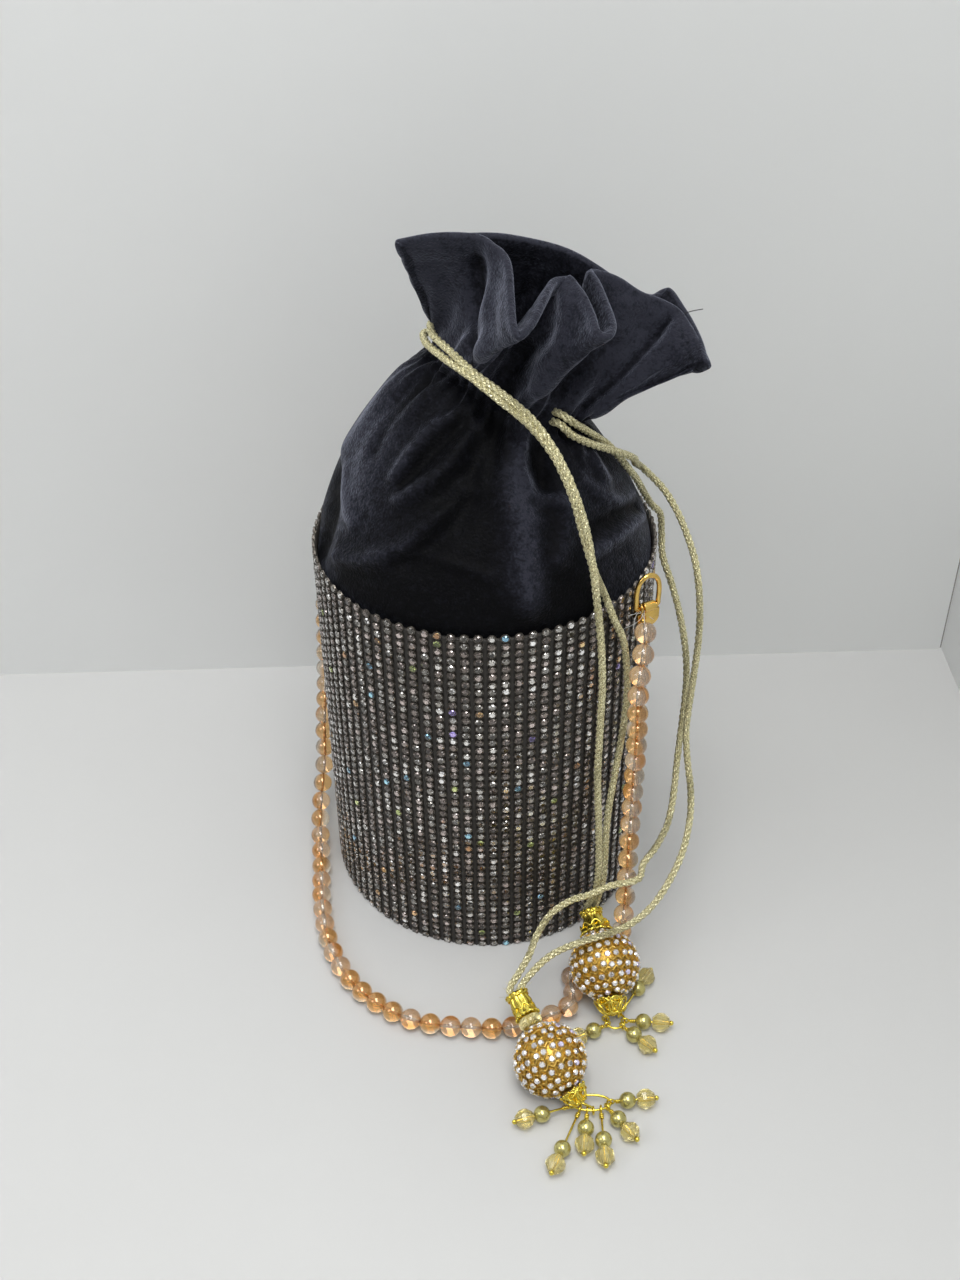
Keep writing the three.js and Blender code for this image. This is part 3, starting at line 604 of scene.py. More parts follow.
# %%
# Each of a cord's three strands: its own radius, how far off the middle it lies, and how long one turn is
STRAND_RADIUS, STRAND_OFFSET, STRAND_LAY = 0.74, 0.66, 7.5
CORD_ROUTES = {
    "cord_a_upper": [
        (-13.6, -9.6, 236), (-2.9, -16.3, 234.9), (8.3, -21.4, 232.5), (20.1, -24.2, 229.2),
        (31.4, -25.9, 223.8), (40.6, -27.8, 215.5), (47.8, -29.7, 205.3), (53.2, -31.5, 194.1),
        (56.9, -33.2, 182.2), (59.7, -34.8, 170), (62, -36, 157.6), (63.4, -36.8, 148.3),
        (64.6, -37.8, 135.8), (65, -38.9, 123.2), (65.3, -39.7, 110.6), (65.5, -40.3, 98),
        (66.1, -40.4, 85.4), (66.8, -40.1, 72.8), (67.2, -39.6, 60.2), (67.3, -39.1, 47.6),
        (66.3, -38.5, 34.8), (63.2, -39, 23)],
    "cord_a_lower": [
        (-17, -8.5, 231.8), (-6.4, -14.5, 229.9), (4.6, -17, 225.5), (15, -16.8, 219.1),
        (25.1, -16, 212.2), (34.1, -16.9, 204), (40.8, -19.7, 194.2), (46.9, -22.6, 183.9),
        (53, -24.4, 173.4), (58.4, -24.3, 162.5), (61.4, -22.4, 152), (63.6, -19.2, 142.4),
        (64.1, -16.1, 130.5), (65.1, -15.9, 118.4), (65.5, -17.7, 106.3), (65.6, -20.6, 94.3),
        (65.5, -23.9, 82.5), (65.2, -26.6, 70.6), (65.3, -28.4, 58.4), (65.9, -29.8, 46.3),
        (66.5, -32.2, 34.1), (66, -36.7, 23)],
    "cord_b_inner": [
        (36.2, -6.3, 214.1), (38.4, 0.3, 207.8), (39.9, 4.6, 203.7), (42.2, 10.9, 197.3),
        (44.3, 16.3, 190.1), (46.4, 21.2, 182.6), (47.6, 24.6, 177.6), (48.9, 29.3, 169.8),
        (50.5, 34, 161.9), (52.7, 37.5, 156.6), (53.4, 38.8, 147.8), (55.5, 36.3, 139.1),
        (59.9, 34.3, 131.3), (62.6, 33.1, 125.9), (66.1, 31.6, 117.4), (68.9, 30.2, 108.7),
        (70.5, 29.1, 102.8), (72.3, 26.9, 94), (73.5, 23.9, 85.3), (74.6, 19.9, 77), (75.4, 16.8, 71.8),
        (76.9, 11.4, 64.4), (78.9, 5.2, 57.8), (80.2, 0.7, 53.8), (81.4, -6.7, 48.4), (80.7, -14.8, 44.1),
        (79, -23.1, 41.3), (80.4, -31, 41.4), (72, -37.5, 39.7), (66.3, -44.6, 38.8), (61.5, -48.5, 37.5),
        (56.5, -55.7, 34.8), (54.7, -63.8, 30.9), (55, -72.1, 26.8), (54.3, -78.3, 23.9),
        (53.8, -85.2, 21.1)],
    "cord_b_outer": [
        (36.5, -7.4, 209.9), (40.6, -1.3, 204.3), (44.4, 5.7, 199.2), (47.9, 15.4, 192.2),
        (47.3, 23.1, 186.3), (44.8, 29.9, 180.5), (42.7, 37.2, 175.1), (42.9, 44.1, 169),
        (50.6, 46.1, 161), (57.6, 42.1, 156.3), (63.7, 37.5, 150.9), (69.1, 32.7, 144.9),
        (73, 28.4, 137.6), (75.9, 24.8, 126), (76.9, 22.8, 116.9), (77.4, 20.7, 107.7),
        (77.7, 18.4, 98.7), (78.1, 15.6, 89.7), (79.1, 12.1, 81), (82.6, 6.9, 70.3), (86.2, 2.3, 63),
        (89.1, -3.5, 56.2), (90.8, -10.4, 50.1), (91.4, -18, 44.7), (90.3, -28.9, 38.8),
        (88.1, -37.3, 35.2), (84, -45.3, 32.6), (78, -52.2, 31), (71, -58.4, 29.6), (62.5, -67, 26.7),
        (58.3, -75.7, 23.3), (57.2, -84.2, 20.9)],
}
CORD_ENDS = {
    "cord_a_upper": (-0.604, 0.720, 0.342), "cord_a_lower": (-0.604, 0.720, 0.342),
    "cord_b_inner": (-0.782, 0.568, 0.259), "cord_b_outer": (-0.782, 0.568, 0.259),
}
CORD_IN_CAP = 3.5
# Where each cord goes on, out of the picture's sight, into the channel round the neck
CORD_TUCKS = {
    "cord_a_upper": [(-13, 2, 233), (-17, -3, 236)], "cord_a_lower": [(-15, 3, 229), (-20, -3, 231.5)],
    "cord_b_inner": [(29, -5, 215.5), (33, -6.8, 216)], "cord_b_outer": [(29, -6.5, 212.5), (33, -8, 213)],
}


def twisted_cord(name, route):
    """Three strands laid round each other, each a tube of its own."""
    way = np.array(CORD_ENDS[name])
    line = catmull([*CORD_TUCKS[name], *route, route[-1] - way * CORD_IN_CAP], 440)
    side, up = carried_frames(line)
    run = np.r_[0, np.cumsum(np.linalg.norm(np.diff(line, axis=0), axis=1))]
    pile = Pile()
    for k in range(3):
        turn = run / STRAND_LAY * 2 * math.pi + k * 2 * math.pi / 3
        out = STRAND_OFFSET + 0.05 * np.sin(run * 0.8 + k)
        centre = line + out[:, None] * (np.cos(turn)[:, None] * side + np.sin(turn)[:, None] * up)
        pile.tube(centre, STRAND_RADIUS, sides=7)
    obj = pile.make(name + "_twist", CORD)
    return obj, line


def wisps(name, centre, direction, count, reach, material, thick, spread):
    """Loose fibres that start near the centre and bend away from it."""
    pile = Pile()
    for _ in range(count):
        way = unit(np.array(direction) + rng.normal(0, spread, 3))
        bend = rng.normal(0, 0.35, 3)
        t = np.linspace(0, 1, 7)[:, None]
        far = reach * rng.uniform(0.6, 1.0)
        start = np.array(centre) + rng.normal(0, 0.6, 3)
        pile.tube(start + way * far * t + bend * far * t ** 2, thick, sides=4)
    return pile.make(name, material)


def laid_together(route, other, first, last):
    """The route with its points first to last drawn up to the other cord, so that the two touch."""
    line = catmull(other, 600)
    spots = [np.array(spot, float) for spot in route]
    for k in range(first, last):
        near = line[np.argmin(((line - spots[k]) ** 2).sum(1))]
        gap = spots[k] - near
        gap -= np.array(CAMERA_BACK) * (gap @ np.array(CAMERA_BACK))
        spots[k] = near + gap * min(1.0, (CORD_TOUCH + CORD_PLAY * (k % 2)) / np.linalg.norm(gap))
    return spots


CORD_TOUCH, CORD_PLAY = 2.95, 0.9
CORD_ROUTES["cord_a_lower"] = laid_together(CORD_ROUTES["cord_a_lower"], CORD_ROUTES["cord_a_upper"], 1, 9)

cords = {}
for cord_name, route in CORD_ROUTES.items():
    cords[cord_name] = twisted_cord(cord_name, route)
    belongs(cords[cord_name][0], "metallic_cord", nodes=[cord_name])

# %% [markdown]
# ## Velvet top
# The same form as the CAD piece, at full detail, with its wrinkles as lines that push the cloth
# out or draw it in.

# %%
NECK_CENTRE = np.array([8.0, 0.0, 217.0])
NECK_LEAN = math.radians(18)
NECK_ACROSS = np.array([math.cos(NECK_LEAN), 0, -math.sin(NECK_LEAN)])
NECK_DEEP = np.array([0.0, 1.0, 0.0])
NECK_UP = np.array([math.sin(NECK_LEAN), 0, math.cos(NECK_LEAN)])
NECK_HALF_WIDTH, NECK_HALF_DEPTH, NECK_PLEATS, PLEAT_DEPTH = 28.0, 14.0, 11, 1.4
SHOULDER_LEFT, SHOULDER_RIGHT, SHOULDER_FRONT = 36.0, 14.0, 28.0
REACH_LEFT, REACH_RIGHT = 12.0, 6.0
BACK_HEM = [
    (57.2, 10.1, 39.3), (51, 17.9, 40.1), (41.2, 25.7, 42.1), (32.3, 28.7, 44.1), (29.2, 24.6, 41.6),
    (21.4, 19.6, 43.5), (11.6, 15, 47.4), (1.4, 12.6, 49), (-7.2, 10.9, 48.3), (-17, 4.9, 47.8),
    (-26.7, -2.2, 45.9), (-36.7, -11.2, 44), (-42.2, -20.6, 42.2)]
FRONT_HEM = [
    (-42.2, -20.6, 42.2), (-33.9, -15.6, 46.9), (-25.9, -10, 49.2), (-19.4, -6.3, 50), (-13.9, -7, 50.1),
    (-8.7, -11.2, 49.1), (-2, -20.3, 45.5), (4.4, -29, 42.4), (8.6, -31.1, 41.6), (9.8, -27.2, 43.6),
    (7.5, -14.4, 46.6), (5, -1.7, 46.8), (7.1, 2.4, 47.5), (13.1, -1.8, 47.7), (20.7, -8.2, 46.3),
    (26.3, -13.7, 45.3), (29.9, -13.3, 45.6), (29.5, -8.4, 46.2), (21.6, 1.2, 47.4), (15.1, 7.2, 48.3),
    (12.1, 9.8, 47.9), (14.6, 12.4, 47.7), (19.6, 15, 47), (28.1, 17.6, 44.9), (34.5, 20.2, 44.5),
    (40.9, 20.7, 43.7), (51.2, 15.3, 40.4), (57.2, 10.1, 39.3)]
# Each fold: how far out it stands, how wide it is, and the line that it follows
RUFFLE_FOLDS = [
    (1.7, 4.0, [(8, -6, 268), (9, -9, 260), (10, -15, 252), (12, -21, 245), (8, -16, 234), (5, -15, 226)]),
    (-2.6, 3.5, [(2, -6, 263), (2, -7, 253), (3, -12, 244), (5, -18, 236)]),
    (-3.2, 4.5, [(19, -7, 236), (17, -10, 231), (15, -11, 226), (14, -12, 222)]),
    (2.0, 4.0, [(29, 2, 258), (32, -3, 253), (32, -9, 243), (29, -12, 235), (26, -13, 228)]),
    (-2.8, 4.0, [(42, 9, 236), (38, 3, 230), (34, -1, 226), (31, -4, 222)]),
    (1.6, 4.0, [(44, 14, 248), (44, 11, 241), (43, 8, 234), (38, 2, 227), (34, -2, 222)]),
    (-2.4, 1.7, [(58, 19, 244), (55, 16, 239), (51, 11, 233), (47, 8, 227), (43, 4, 222), (38, 0, 216)]),
    (1.2, 3.0, [(61, 18, 242), (54, 11, 231), (46, 4, 221), (40, 1, 215)]),
]
DOME_FOLDS = [
    (2.6, 3.2, [(-1, -21, 213), (-5, -23, 211), (-9, -28, 205), (-12, -32, 199), (-14, -36, 195)]),
    (-2.4, 3.6, [(3, -21, 212), (0, -26, 208), (-4, -30, 203), (-8, -35, 198), (-11, -38, 194)]),
    (2.6, 3.4, [(8, -19, 212), (6, -25, 207), (4, -31, 202), (-2, -37, 196), (-10, -40, 191)]),
    (-3.0, 6.0, [(13, -19, 211), (13, -26, 204), (11, -32, 199), (8, -38, 194)]),
    (2.8, 3.2, [(10, -35, 197), (8, -39, 192), (4, -44, 187), (-2, -49, 180), (-10, -52, 175),
                (-19, -52, 170), (-31, -48, 165)]),
    (-2.2, 5.0, [(15, -37, 193), (12, -42, 188), (5, -48, 181), (-2, -52, 175)]),
    (1.0, 1.8, [(-3, -50, 178), (6, -50, 178), (14, -49, 177), (20, -48, 176), (27, -46, 174)]),
    (3.4, 7.0, [(22, -15, 210), (24, -21, 204), (26, -27, 197), (32, -32, 186), (36, -38, 175),
                (39, -41, 165)]),
    (-4.5, 6.5, [(27, -16, 205), (29, -19, 201), (32, -20, 198)]),
    (2.2, 2.6, [(24, -18, 207), (26, -22, 202), (30, -23, 197), (34, -23, 194), (38, -20, 192)]),
    (2.0, 4.0, [(40, -18, 191), (42, -21, 186), (43, -26, 179), (43, -29, 176)]),
    (1.6, 2.6, [(41, -8, 195), (46, -4, 188), (50, 4, 181), (49, 19, 174)]),
    (1.8, 3.0, [(50, -20, 173), (52, -11, 173), (54, 2, 172), (53, 19, 167)]),
    (-1.8, 3.5, [(48, -15, 180), (50, -7, 179), (52, 5, 177), (51, 18, 171)]),
    (1.4, 3.0, [(37, -2, 205), (41, -1, 200), (44, 1, 194), (46, 3, 189)]),
    (1.6, 6.0, [(-27, -8, 217), (-32, -11, 210), (-36, -15, 203), (-39, -19, 196), (-44, -20, 188)]),
    (-4.6, 9.0, [(-48, -36, 156), (-44, -35, 170), (-46, -30, 175), (-49, -23, 177)]),
    (-1.5, 3.0, [(-15, -13, 220), (-20, -18, 213), (-25, -23, 205), (-27, -29, 198)]),
    (1.3, 3.5, [(-28, -44, 178), (-33, -39, 180), (-37, -35, 182), (-39, -29, 186)]),
]
# Broad bands of painted shade (below zero) and painted light (above zero): how much, how wide, and where
PAINTED_SHADE_AND_LIGHT = [
    (-0.55, 15, [(7, -28, 205), (10, -37, 194), (13, -46, 182), (14, -53, 169)]),
    (-0.4, 9, [(-24, -53, 163), (-1, -58, 162), (20, -55, 160), (37, -46, 159), (49, -32, 159)]),
    (-0.35, 10, [(40, -28, 182), (44, -30, 172), (50, -30, 161)]),
    (0.5, 14, [(-29, -23, 202), (-31, -30, 194), (-32, -37, 185)]),
    (0.3, 7, [(26, -25, 199), (32, -32, 186), (38, -40, 169)]),
    (0.35, 18, [(-22, -15, 258), (-19, -10, 250), (-15, -6, 241)]),
    (0.2, 12, [(50, 14, 240), (42, 6, 232), (36, 0, 226)]),
]


def above_neck(across, deep, up):
    return (NECK_CENTRE + np.multiply.outer(across, NECK_ACROSS) + np.multiply.outer(deep, NECK_DEEP)
            + np.multiply.outer(up, NECK_UP))


def hem_line(spots, count=2000):
    return catmull([above_neck(*map(float, spot)) for spot in spots], count)


BACK_LINE, FRONT_LINE = hem_line(BACK_HEM), hem_line(FRONT_HEM)


def along_line(share, line):
    at = np.linspace(0, 1, len(line))
    return np.stack([np.interp(np.clip(share, 0, 1), at, line[:, k]) for k in range(3)], -1)


def velvet_skin(turn, rise):
    """Points of the cloth, for turn 0..1 round the bag and rise 0 at the rim, 1 at the neck, 2 at the hem."""
    angle = turn * 2 * math.pi
    side, front = np.cos(angle), np.sin(angle)
    pleat = PLEAT_DEPTH * (np.cos(NECK_PLEATS * angle) - 1) / 2
    neck = above_neck((NECK_HALF_WIDTH + pleat) * side, (NECK_HALF_DEPTH + pleat) * front, 0 * angle)
    rim_radius, rim_level = BOARD_RADIUS - 0.1, BOARD_HEIGHT + 0.3
    rim = np.stack([side * rim_radius, front * rim_radius, 0 * angle + rim_level], -1)
    share = side ** 2
    shoulder = SHOULDER_FRONT + (np.where(side < 0, SHOULDER_LEFT, SHOULDER_RIGHT) - SHOULDER_FRONT) * share
    middle = (REACH_LEFT + REACH_RIGHT) / 2
    reach = middle + (np.where(side < 0, REACH_LEFT, REACH_RIGHT) - middle) * share
    outward = np.stack([side, front, 0 * angle], -1)
    above = rim + shoulder[..., None] * np.array([0, 0, 1.0])
    below = neck + outward * (reach * 0.7)[..., None] - NECK_UP * (reach * 0.35)[..., None]
    hem = np.where((turn < 0.5)[..., None], along_line(turn * 2, BACK_LINE), along_line(turn * 2 - 1, FRONT_LINE))
    slope = unit(hem - neck)
    first = neck + NECK_UP * 5 + slope * 9
    last = hem - slope * 16

    def bezier(a, b, c, d, t):
        t = t[..., None]
        return a * (1 - t) ** 3 + 3 * b * t * (1 - t) ** 2 + 3 * c * t ** 2 * (1 - t) + d * t ** 3

    low = bezier(rim, above, below, neck, np.clip(rise, 0, 1))
    high = bezier(neck, first, last, hem, np.clip(rise - 1, 0, 1))
    return np.where((rise <= 1)[..., None], low, high)


def skin_normals(points):
    around = np.roll(points, -1, 1) - np.roll(points, 1, 1)
    upward = np.gradient(points, axis=0)
    return unit(np.cross(around, upward))


def line_distance(points, line):
    flat = points.reshape(-1, 3)
    best = np.full(len(flat), 1e9)
    for spot in line:
        best = np.minimum(best, ((flat - spot) ** 2).sum(1))
    return np.sqrt(best).reshape(points.shape[:-1])


def smoothstep(low, high, value):
    t = np.clip((value - low) / (high - low), 0, 1)
    return t * t * (3 - 2 * t)


def wrinkled_velvet(columns=420, rows=190):
    """The cloth's points with its folds pushed out, and the painted light and shade at each point."""
    turn, rise = np.meshgrid(np.arange(columns) / columns, np.linspace(0, 2, rows))
    points = velvet_skin(turn, rise)
    normal = skin_normals(points)
    push = np.zeros(turn.shape)
    # Painted light: the ruffle above the neck is painted paler than the dome below it, as it faces up to the
    # light.
    painted_light = np.full(turn.shape, 0.36) + 0.44 * smoothstep(1.0, 1.2, rise)
    in_ruffle, in_dome = smoothstep(0.96, 1.06, rise), 1 - smoothstep(0.98, 1.04, rise)
    for folds, share in ((RUFFLE_FOLDS, in_ruffle), (DOME_FOLDS, in_dome)):
        for height, width, line in folds:
            near = line_distance(points, catmull(line, 40))
            push += share * height * np.exp(-(near / width) ** 2)
            # Painted highlights on the folds that stand out, painted shade in the folds that are drawn in.
            painted_light += share * np.clip(height / 4, -0.45, 0.45) * np.exp(-(near / (width * 0.8)) ** 2)
    # Broad bands of painted shade and painted light.
    for amount, width, line in PAINTED_SHADE_AND_LIGHT:
        painted_light += amount * np.exp(-(line_distance(points, catmull(line, 40)) / width) ** 2)
    # A painted highlight along the hem's edge.
    painted_light += 0.25 * smoothstep(1.93, 1.985, rise)
    # Gathers run out of the drawn neck, deeper and closer together the nearer they are to it.
    near_neck = np.exp(-((rise - 1.0) / 0.16) ** 2)
    below = smoothstep(0.35, 0.9, rise) * (1 - smoothstep(0.97, 1.03, rise))
    drift = 0.012 * np.sin(rise * 5 + turn * 19)
    push += near_neck * 0.75 * np.cos(2 * math.pi * 34 * (turn + drift))
    push += below * 0.8 * np.cos(2 * math.pi * (17 * (turn + drift * 2)) + 1.3 * np.sin(turn * 31))
    push += below ** 2 * 0.4 * np.cos(2 * math.pi * 29 * (turn - drift) + 2 * np.sin(turn * 23))
    above = smoothstep(1.0, 1.15, rise) * (1 - smoothstep(1.55, 1.95, rise))
    push += above * 0.7 * np.cos(2 * math.pi * 23 * (turn + drift) + 2 * np.sin(turn * 17))
    push += 0.35 * np.sin(turn * 47 + rise * 9) * np.sin(rise * 13 + turn * 11) * smoothstep(0.05, 0.3, rise)
    push *= smoothstep(0.0, 0.10, rise)
    return points + normal * push[..., None], np.clip(painted_light, 0, 1)


cloth, cloth_painted_light = wrinkled_velvet()
cloth_normal = skin_normals(cloth)
CLOTH_HALF, HEM_HALF = 0.6, 1.3


def velvet_mesh():
    """The cloth as one closed skin: outside, a rolled hem, and the inside."""
    rise = np.linspace(0, 2, len(cloth))
    half = CLOTH_HALF + (HEM_HALF - CLOTH_HALF) * smoothstep(1.80, 1.93, rise)
    half *= 1 - 0.25 * np.exp(-((rise - 1.80) / 0.02) ** 2)
    shells = [cloth + cloth_normal * (half - CLOTH_HALF)[:, None, None]]
    edge, edge_normal = cloth[-1], cloth_normal[-1]
    upward = unit(cloth[-1] - cloth[-4])
    middle = edge - edge_normal * CLOTH_HALF
    for angle in np.linspace(math.pi / 2, -math.pi / 2, 9)[1:-1]:
        round_edge = edge_normal * HEM_HALF * math.sin(angle) + upward * HEM_HALF * math.cos(angle)
        shells.append((middle + round_edge)[None])
    shells.append((cloth - cloth_normal * (half + CLOTH_HALF)[:, None, None])[::-1][::2])
    points = np.vstack(shells)
    rows, columns = points.shape[:2]
    obj = new_object("velvet_cloth", points.reshape(-1, 3), grid_faces(rows, columns, wrap_rows=True), VELVET)
    # The inside gets 0.7 of the outside's painted light, as painted shade; the rolled hem keeps the edge's painted
    # highlight.
    inside = cloth_painted_light[::-1][::2] * 0.7
    hem = np.repeat(cloth_painted_light[-1:], rows - len(cloth_painted_light) - len(inside), 0)
    painted_light = np.vstack([cloth_painted_light, hem, inside])
    layer = obj.data.attributes.new("painted_light", "FLOAT", "POINT")
    layer.data.foreach_set("value", painted_light.ravel().astype(np.float32))
    return obj


velvet = velvet_mesh()
belongs(velvet, "velvet", nodes=["velvet_top"])

# %% [markdown]
# ## Rhinestone banding: a net, a cup and a cut stone at each crossing

# %%
STONE_COLUMNS, STONE_ROWS, STONE_PITCH = 84, 47, 3.33
TOP_ROW = BODY_HEIGHT - 1.45
NET_INSIDE, NET_OUTSIDE, NET_RIB, NET_SCALLOP = 60.75, 61.15, 0.55, 0.9


def chaton(radius=1.42, table=0.62, crown=0.62, girdle=0.12, sides=8):
    """A flat-backed cut stone: a table, a crown of kites and triangles, and a girdle."""
    pile = Pile()
    angle = np.arange(sides) / sides * 2 * math.pi
    half = angle + math.pi / sides
    ring = lambda r, a, z: np.stack([r * np.cos(a), r * np.sin(a), 0 * a + z], 1)
    points = np.vstack([
        ring(radius * table, angle, crown + girdle), ring(radius * 0.86, half, crown * 0.55 + girdle),
        ring(radius, angle, girdle), ring(radius, angle, 0.0)])
    faces = [tuple(range(sides))]
    for i in range(sides):
        j = (i + 1) % sides
        faces += [(i, sides + i, j), (i, 2 * sides + i, sides + i), (j, sides + i, 2 * sides + j),
                  (sides + i, 2 * sides + i, 2 * sides + j),
                  (2 * sides + i, 3 * sides + i, 3 * sides + j, 2 * sides + j)]
    faces.append(tuple(3 * sides + k for k in range(sides))[::-1])
    pile.put(points, faces)
    return pile


def cup_shape(radius=1.54, height=0.62):
    """A shallow ring with four prongs bent over the stone."""
    pile = Pile()
    outline = [(radius * 0.9, -0.25), (radius * 1.06, -0.25), (radius * 1.02, height * 0.55),
               (radius * 0.93, height * 0.55)]
    pile.turned(outline, (0, 0, 0), (0, 0, 1), segments=8)
    for k in range(4):
        way = heading(45 + 90 * k)
        across = heading(135 + 90 * k) * 0.20
        base, tip = way * radius * 1.04, way * radius * 0.70
        top = np.array([0, 0, 1.0])
        points = [base - across, base + across, base - across + top * 0.5, base + across + top * 0.5,
                  tip + top * (height + 0.22)]
        pile.put(points, [(0, 1, 3, 2), (2, 3, 4), (0, 2, 4), (1, 4, 3), (0, 4, 1)])
    return pile


stone_part = part_of("stone_part", chaton(), STONE)
cup_part = part_of("cup_part", cup_shape(), CUP)

column = np.repeat(np.arange(STONE_COLUMNS), STONE_ROWS)
row = np.tile(np.arange(STONE_ROWS), STONE_COLUMNS)
angle = column / STONE_COLUMNS * 2 * math.pi + rng.normal(0, 0.0012, len(column))
level = TOP_ROW - row * STONE_PITCH + rng.normal(0, 0.10, len(row))
facing = np.stack([np.cos(angle), np.sin(angle), 0 * angle], 1)
spots = facing * (BODY_RADIUS - 0.95) + np.stack([0 * level, 0 * level, level], 1)
stones = repeat("rhinestones", spots, facing, stone_part, STONE, tilt=0.10, seed=3)
cups = repeat("stone_cups", spots, facing, cup_part, CUP, spin=0.0, tilt=0.05, seed=4)


def net_mesh():
    """The dark net behind the cups, with a raised rib between each pair of columns."""
    segments = STONE_COLUMNS * 6
    turn = np.arange(segments) / segments * 2 * math.pi
    rib = np.exp(-(((np.arange(segments) % 6) - 3) / 0.8) ** 2)
    levels = np.linspace(0.1, TOP_ROW - 0.2, 60)

    def round_body(radius, level):
        return np.stack([np.cos(turn) * radius, np.sin(turn) * radius, 0 * turn + level], 1)

    outside = [round_body(NET_OUTSIDE + NET_RIB * rib, z) for z in levels]
    outside[-1] = round_body(NET_OUTSIDE + NET_RIB * rib, levels[-1] - NET_SCALLOP * rib)
    inside = [round_body(NET_INSIDE, z) for z in (levels[-1], levels[0])]
    points = np.stack(outside + inside)
    faces = grid_faces(len(points), segments, wrap_rows=True)
    return new_object("banding_net", points.reshape(-1, 3), faces, NET)


net = net_mesh()
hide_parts("rhinestone_banding")
for piece in (net, stones, cups):
    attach(piece, "bag")

# %% [markdown]
# ## D-rings, their tabs, and the bead handle

# %%
FITTINGS = {"right": (-5, -38, 4.3, 148), "left": (180, 180, 1.8, 136)}
RING_HALF_WIDTH, RING_HEIGHT, RING_WIRE = 4.3, 13.4, 0.9


def fitting_frame(azimuth, turn, standoff, level):
    """The place of a fitting, and its own outward, along-the-bar and up directions."""
    place = heading(azimuth) * (BODY_RADIUS + standoff) + np.array([0, 0, level])
    return place, heading(turn), heading(turn + 90), np.array([0, 0, 1.0])


def from_fitting(frame_of, spots):
    place, out, along, up = frame_of
    spots = np.atleast_2d(np.array(spots, float))
    return place + spots[:, :1] * out + spots[:, 1:2] * along + spots[:, 2:3] * up


def ring_line():
    w, h = RING_HALF_WIDTH, RING_HEIGHT
    half = [(0, 0), (w * 0.7, 0), (w * 0.97, 0.5), (w, 2), (w, h - w * 1.25), (w * 0.78, h - w * 0.5),
            (w * 0.4, h - w * 0.1), (0, h)]
    return [(0, y, z) for y, z in half] + [(0, -y, z) for y, z in half[1:-1][::-1]]


def plate_mesh(frame_of, pile):
    """The folded tab: a sleeve round the bar and a rounded plate below it."""
    place, out, along, up = frame_of
    sleeve = [(1.2, -1.4), (1.35, -1.5), (1.8, -1.4), (1.85, -1.2), (1.85, 2.8), (1.8, 3.0), (1.35, 3.1),
              (1.2, 3.0)]
    pile.turned(sleeve, place, along, 28)
    left, right, top, bottom, corner = -3.5, 4.8, -1.4, -8.2, 3.4
    arc = [(right - corner + corner * math.sin(a), bottom + corner - corner * math.cos(a))
           for a in np.linspace(0, math.pi / 2, 9)]
    flat = np.array([(-1.4, top), (-1.4, top - 1.1), (left, top - 1.1), (left, bottom + 1.2), (left + 1.2, bottom),
                     *arc, (right, top)])
    middle = flat.mean(0)
    layers = []
    edge = ((-0.7, 0.94), (-0.62, 0.985), (-0.45, 1.0), (0.45, 1.0), (0.62, 0.985), (0.7, 0.94))
    for depth, shrink in edge:
        ring = middle + (flat - middle) * shrink
        layers.append(from_fitting(frame_of, [(depth, y, z) for y, z in ring]))
    count = len(flat)
    faces = grid_faces(len(layers), count)
    faces += [tuple(range(count))[::-1], tuple((len(layers) - 1) * count + k for k in range(count))]
    pile.put(np.vstack(layers), faces)


frames = {side: fitting_frame(*FITTINGS[side]) for side in FITTINGS}
for side_name, frame_of in frames.items():
    ring = Pile()
    ring.tube(catmull(from_fitting(frame_of, ring_line()), 96, closed=True), RING_WIRE, sides=14, closed=True)
    node = f"d_ring_{side_name}"
    belongs(ring.make(f"ring_{side_name}", GOLD), "gold", node, [node])
    tab = Pile()
    plate_mesh(frame_of, tab)
    post_start = from_fitting(frame_of, [(0, 0.6, -4.9)])[0]
    level_out = unit(post_start * [1, 1, 0])
    post_end = level_out * (BODY_RADIUS - 0.4) + [0, 0, post_start[2]]
    tab.tube(np.linspace(post_start, post_end, 4), 1.6, sides=16)
    belongs(tab.make(f"tab_{side_name}", GOLD), "gold", nodes=[f"ring_tab_{side_name}"])

BEAD_RADIUS, BEAD_BORE, BEAD_COUNT = 3.9, 0.45, 64
LOOP_RADIUS, LOOP_OFFSET = 1.6, -2.5
STRAND_ROUTE = [
    (71, -20, 125), (72, -21, 101), (72, -21, 77), (73, -24, 53), (75, -29, 38), (77, -35, 23),
    (77, -37, 15), (73, -39, 9), (68, -43, 5.5), (65, -50, 4.3), (66, -58, 4.2), (70, -64, 4.2), (71, -70, 5),
    (67, -77, 5), (56, -88, 4.2), (43, -95, 4.2), (21, -102, 4.2), (-3, -99, 4.2), (-23, -87, 4.2),
    (-38, -70, 4.2), (-51, -50, 5), (-63, -31, 11), (-69, -16, 27), (-71, -11, 42), (-71, -8, 57),
    (-71, -5, 80), (-71, -2, 103), (-70, 1, 118)]


def strand_end(frame_of):
    centre = from_fitting(frame_of, [(0, LOOP_OFFSET, 0)])[0]
    first = from_fitting(frame_of, [(5, LOOP_OFFSET - 0.4, -7)])[0]
    down = unit(first - centre)
    return centre, first, down, first - down * BEAD_RADIUS


right_end, left_end = strand_end(frames["right"]), strand_end(frames["left"])
strand_spots = [right_end[3], right_end[1], *STRAND_ROUTE, left_end[1], left_end[3]]
strand = catmull(strand_spots, BEAD_COUNT * 8 + 1, per_span=60)


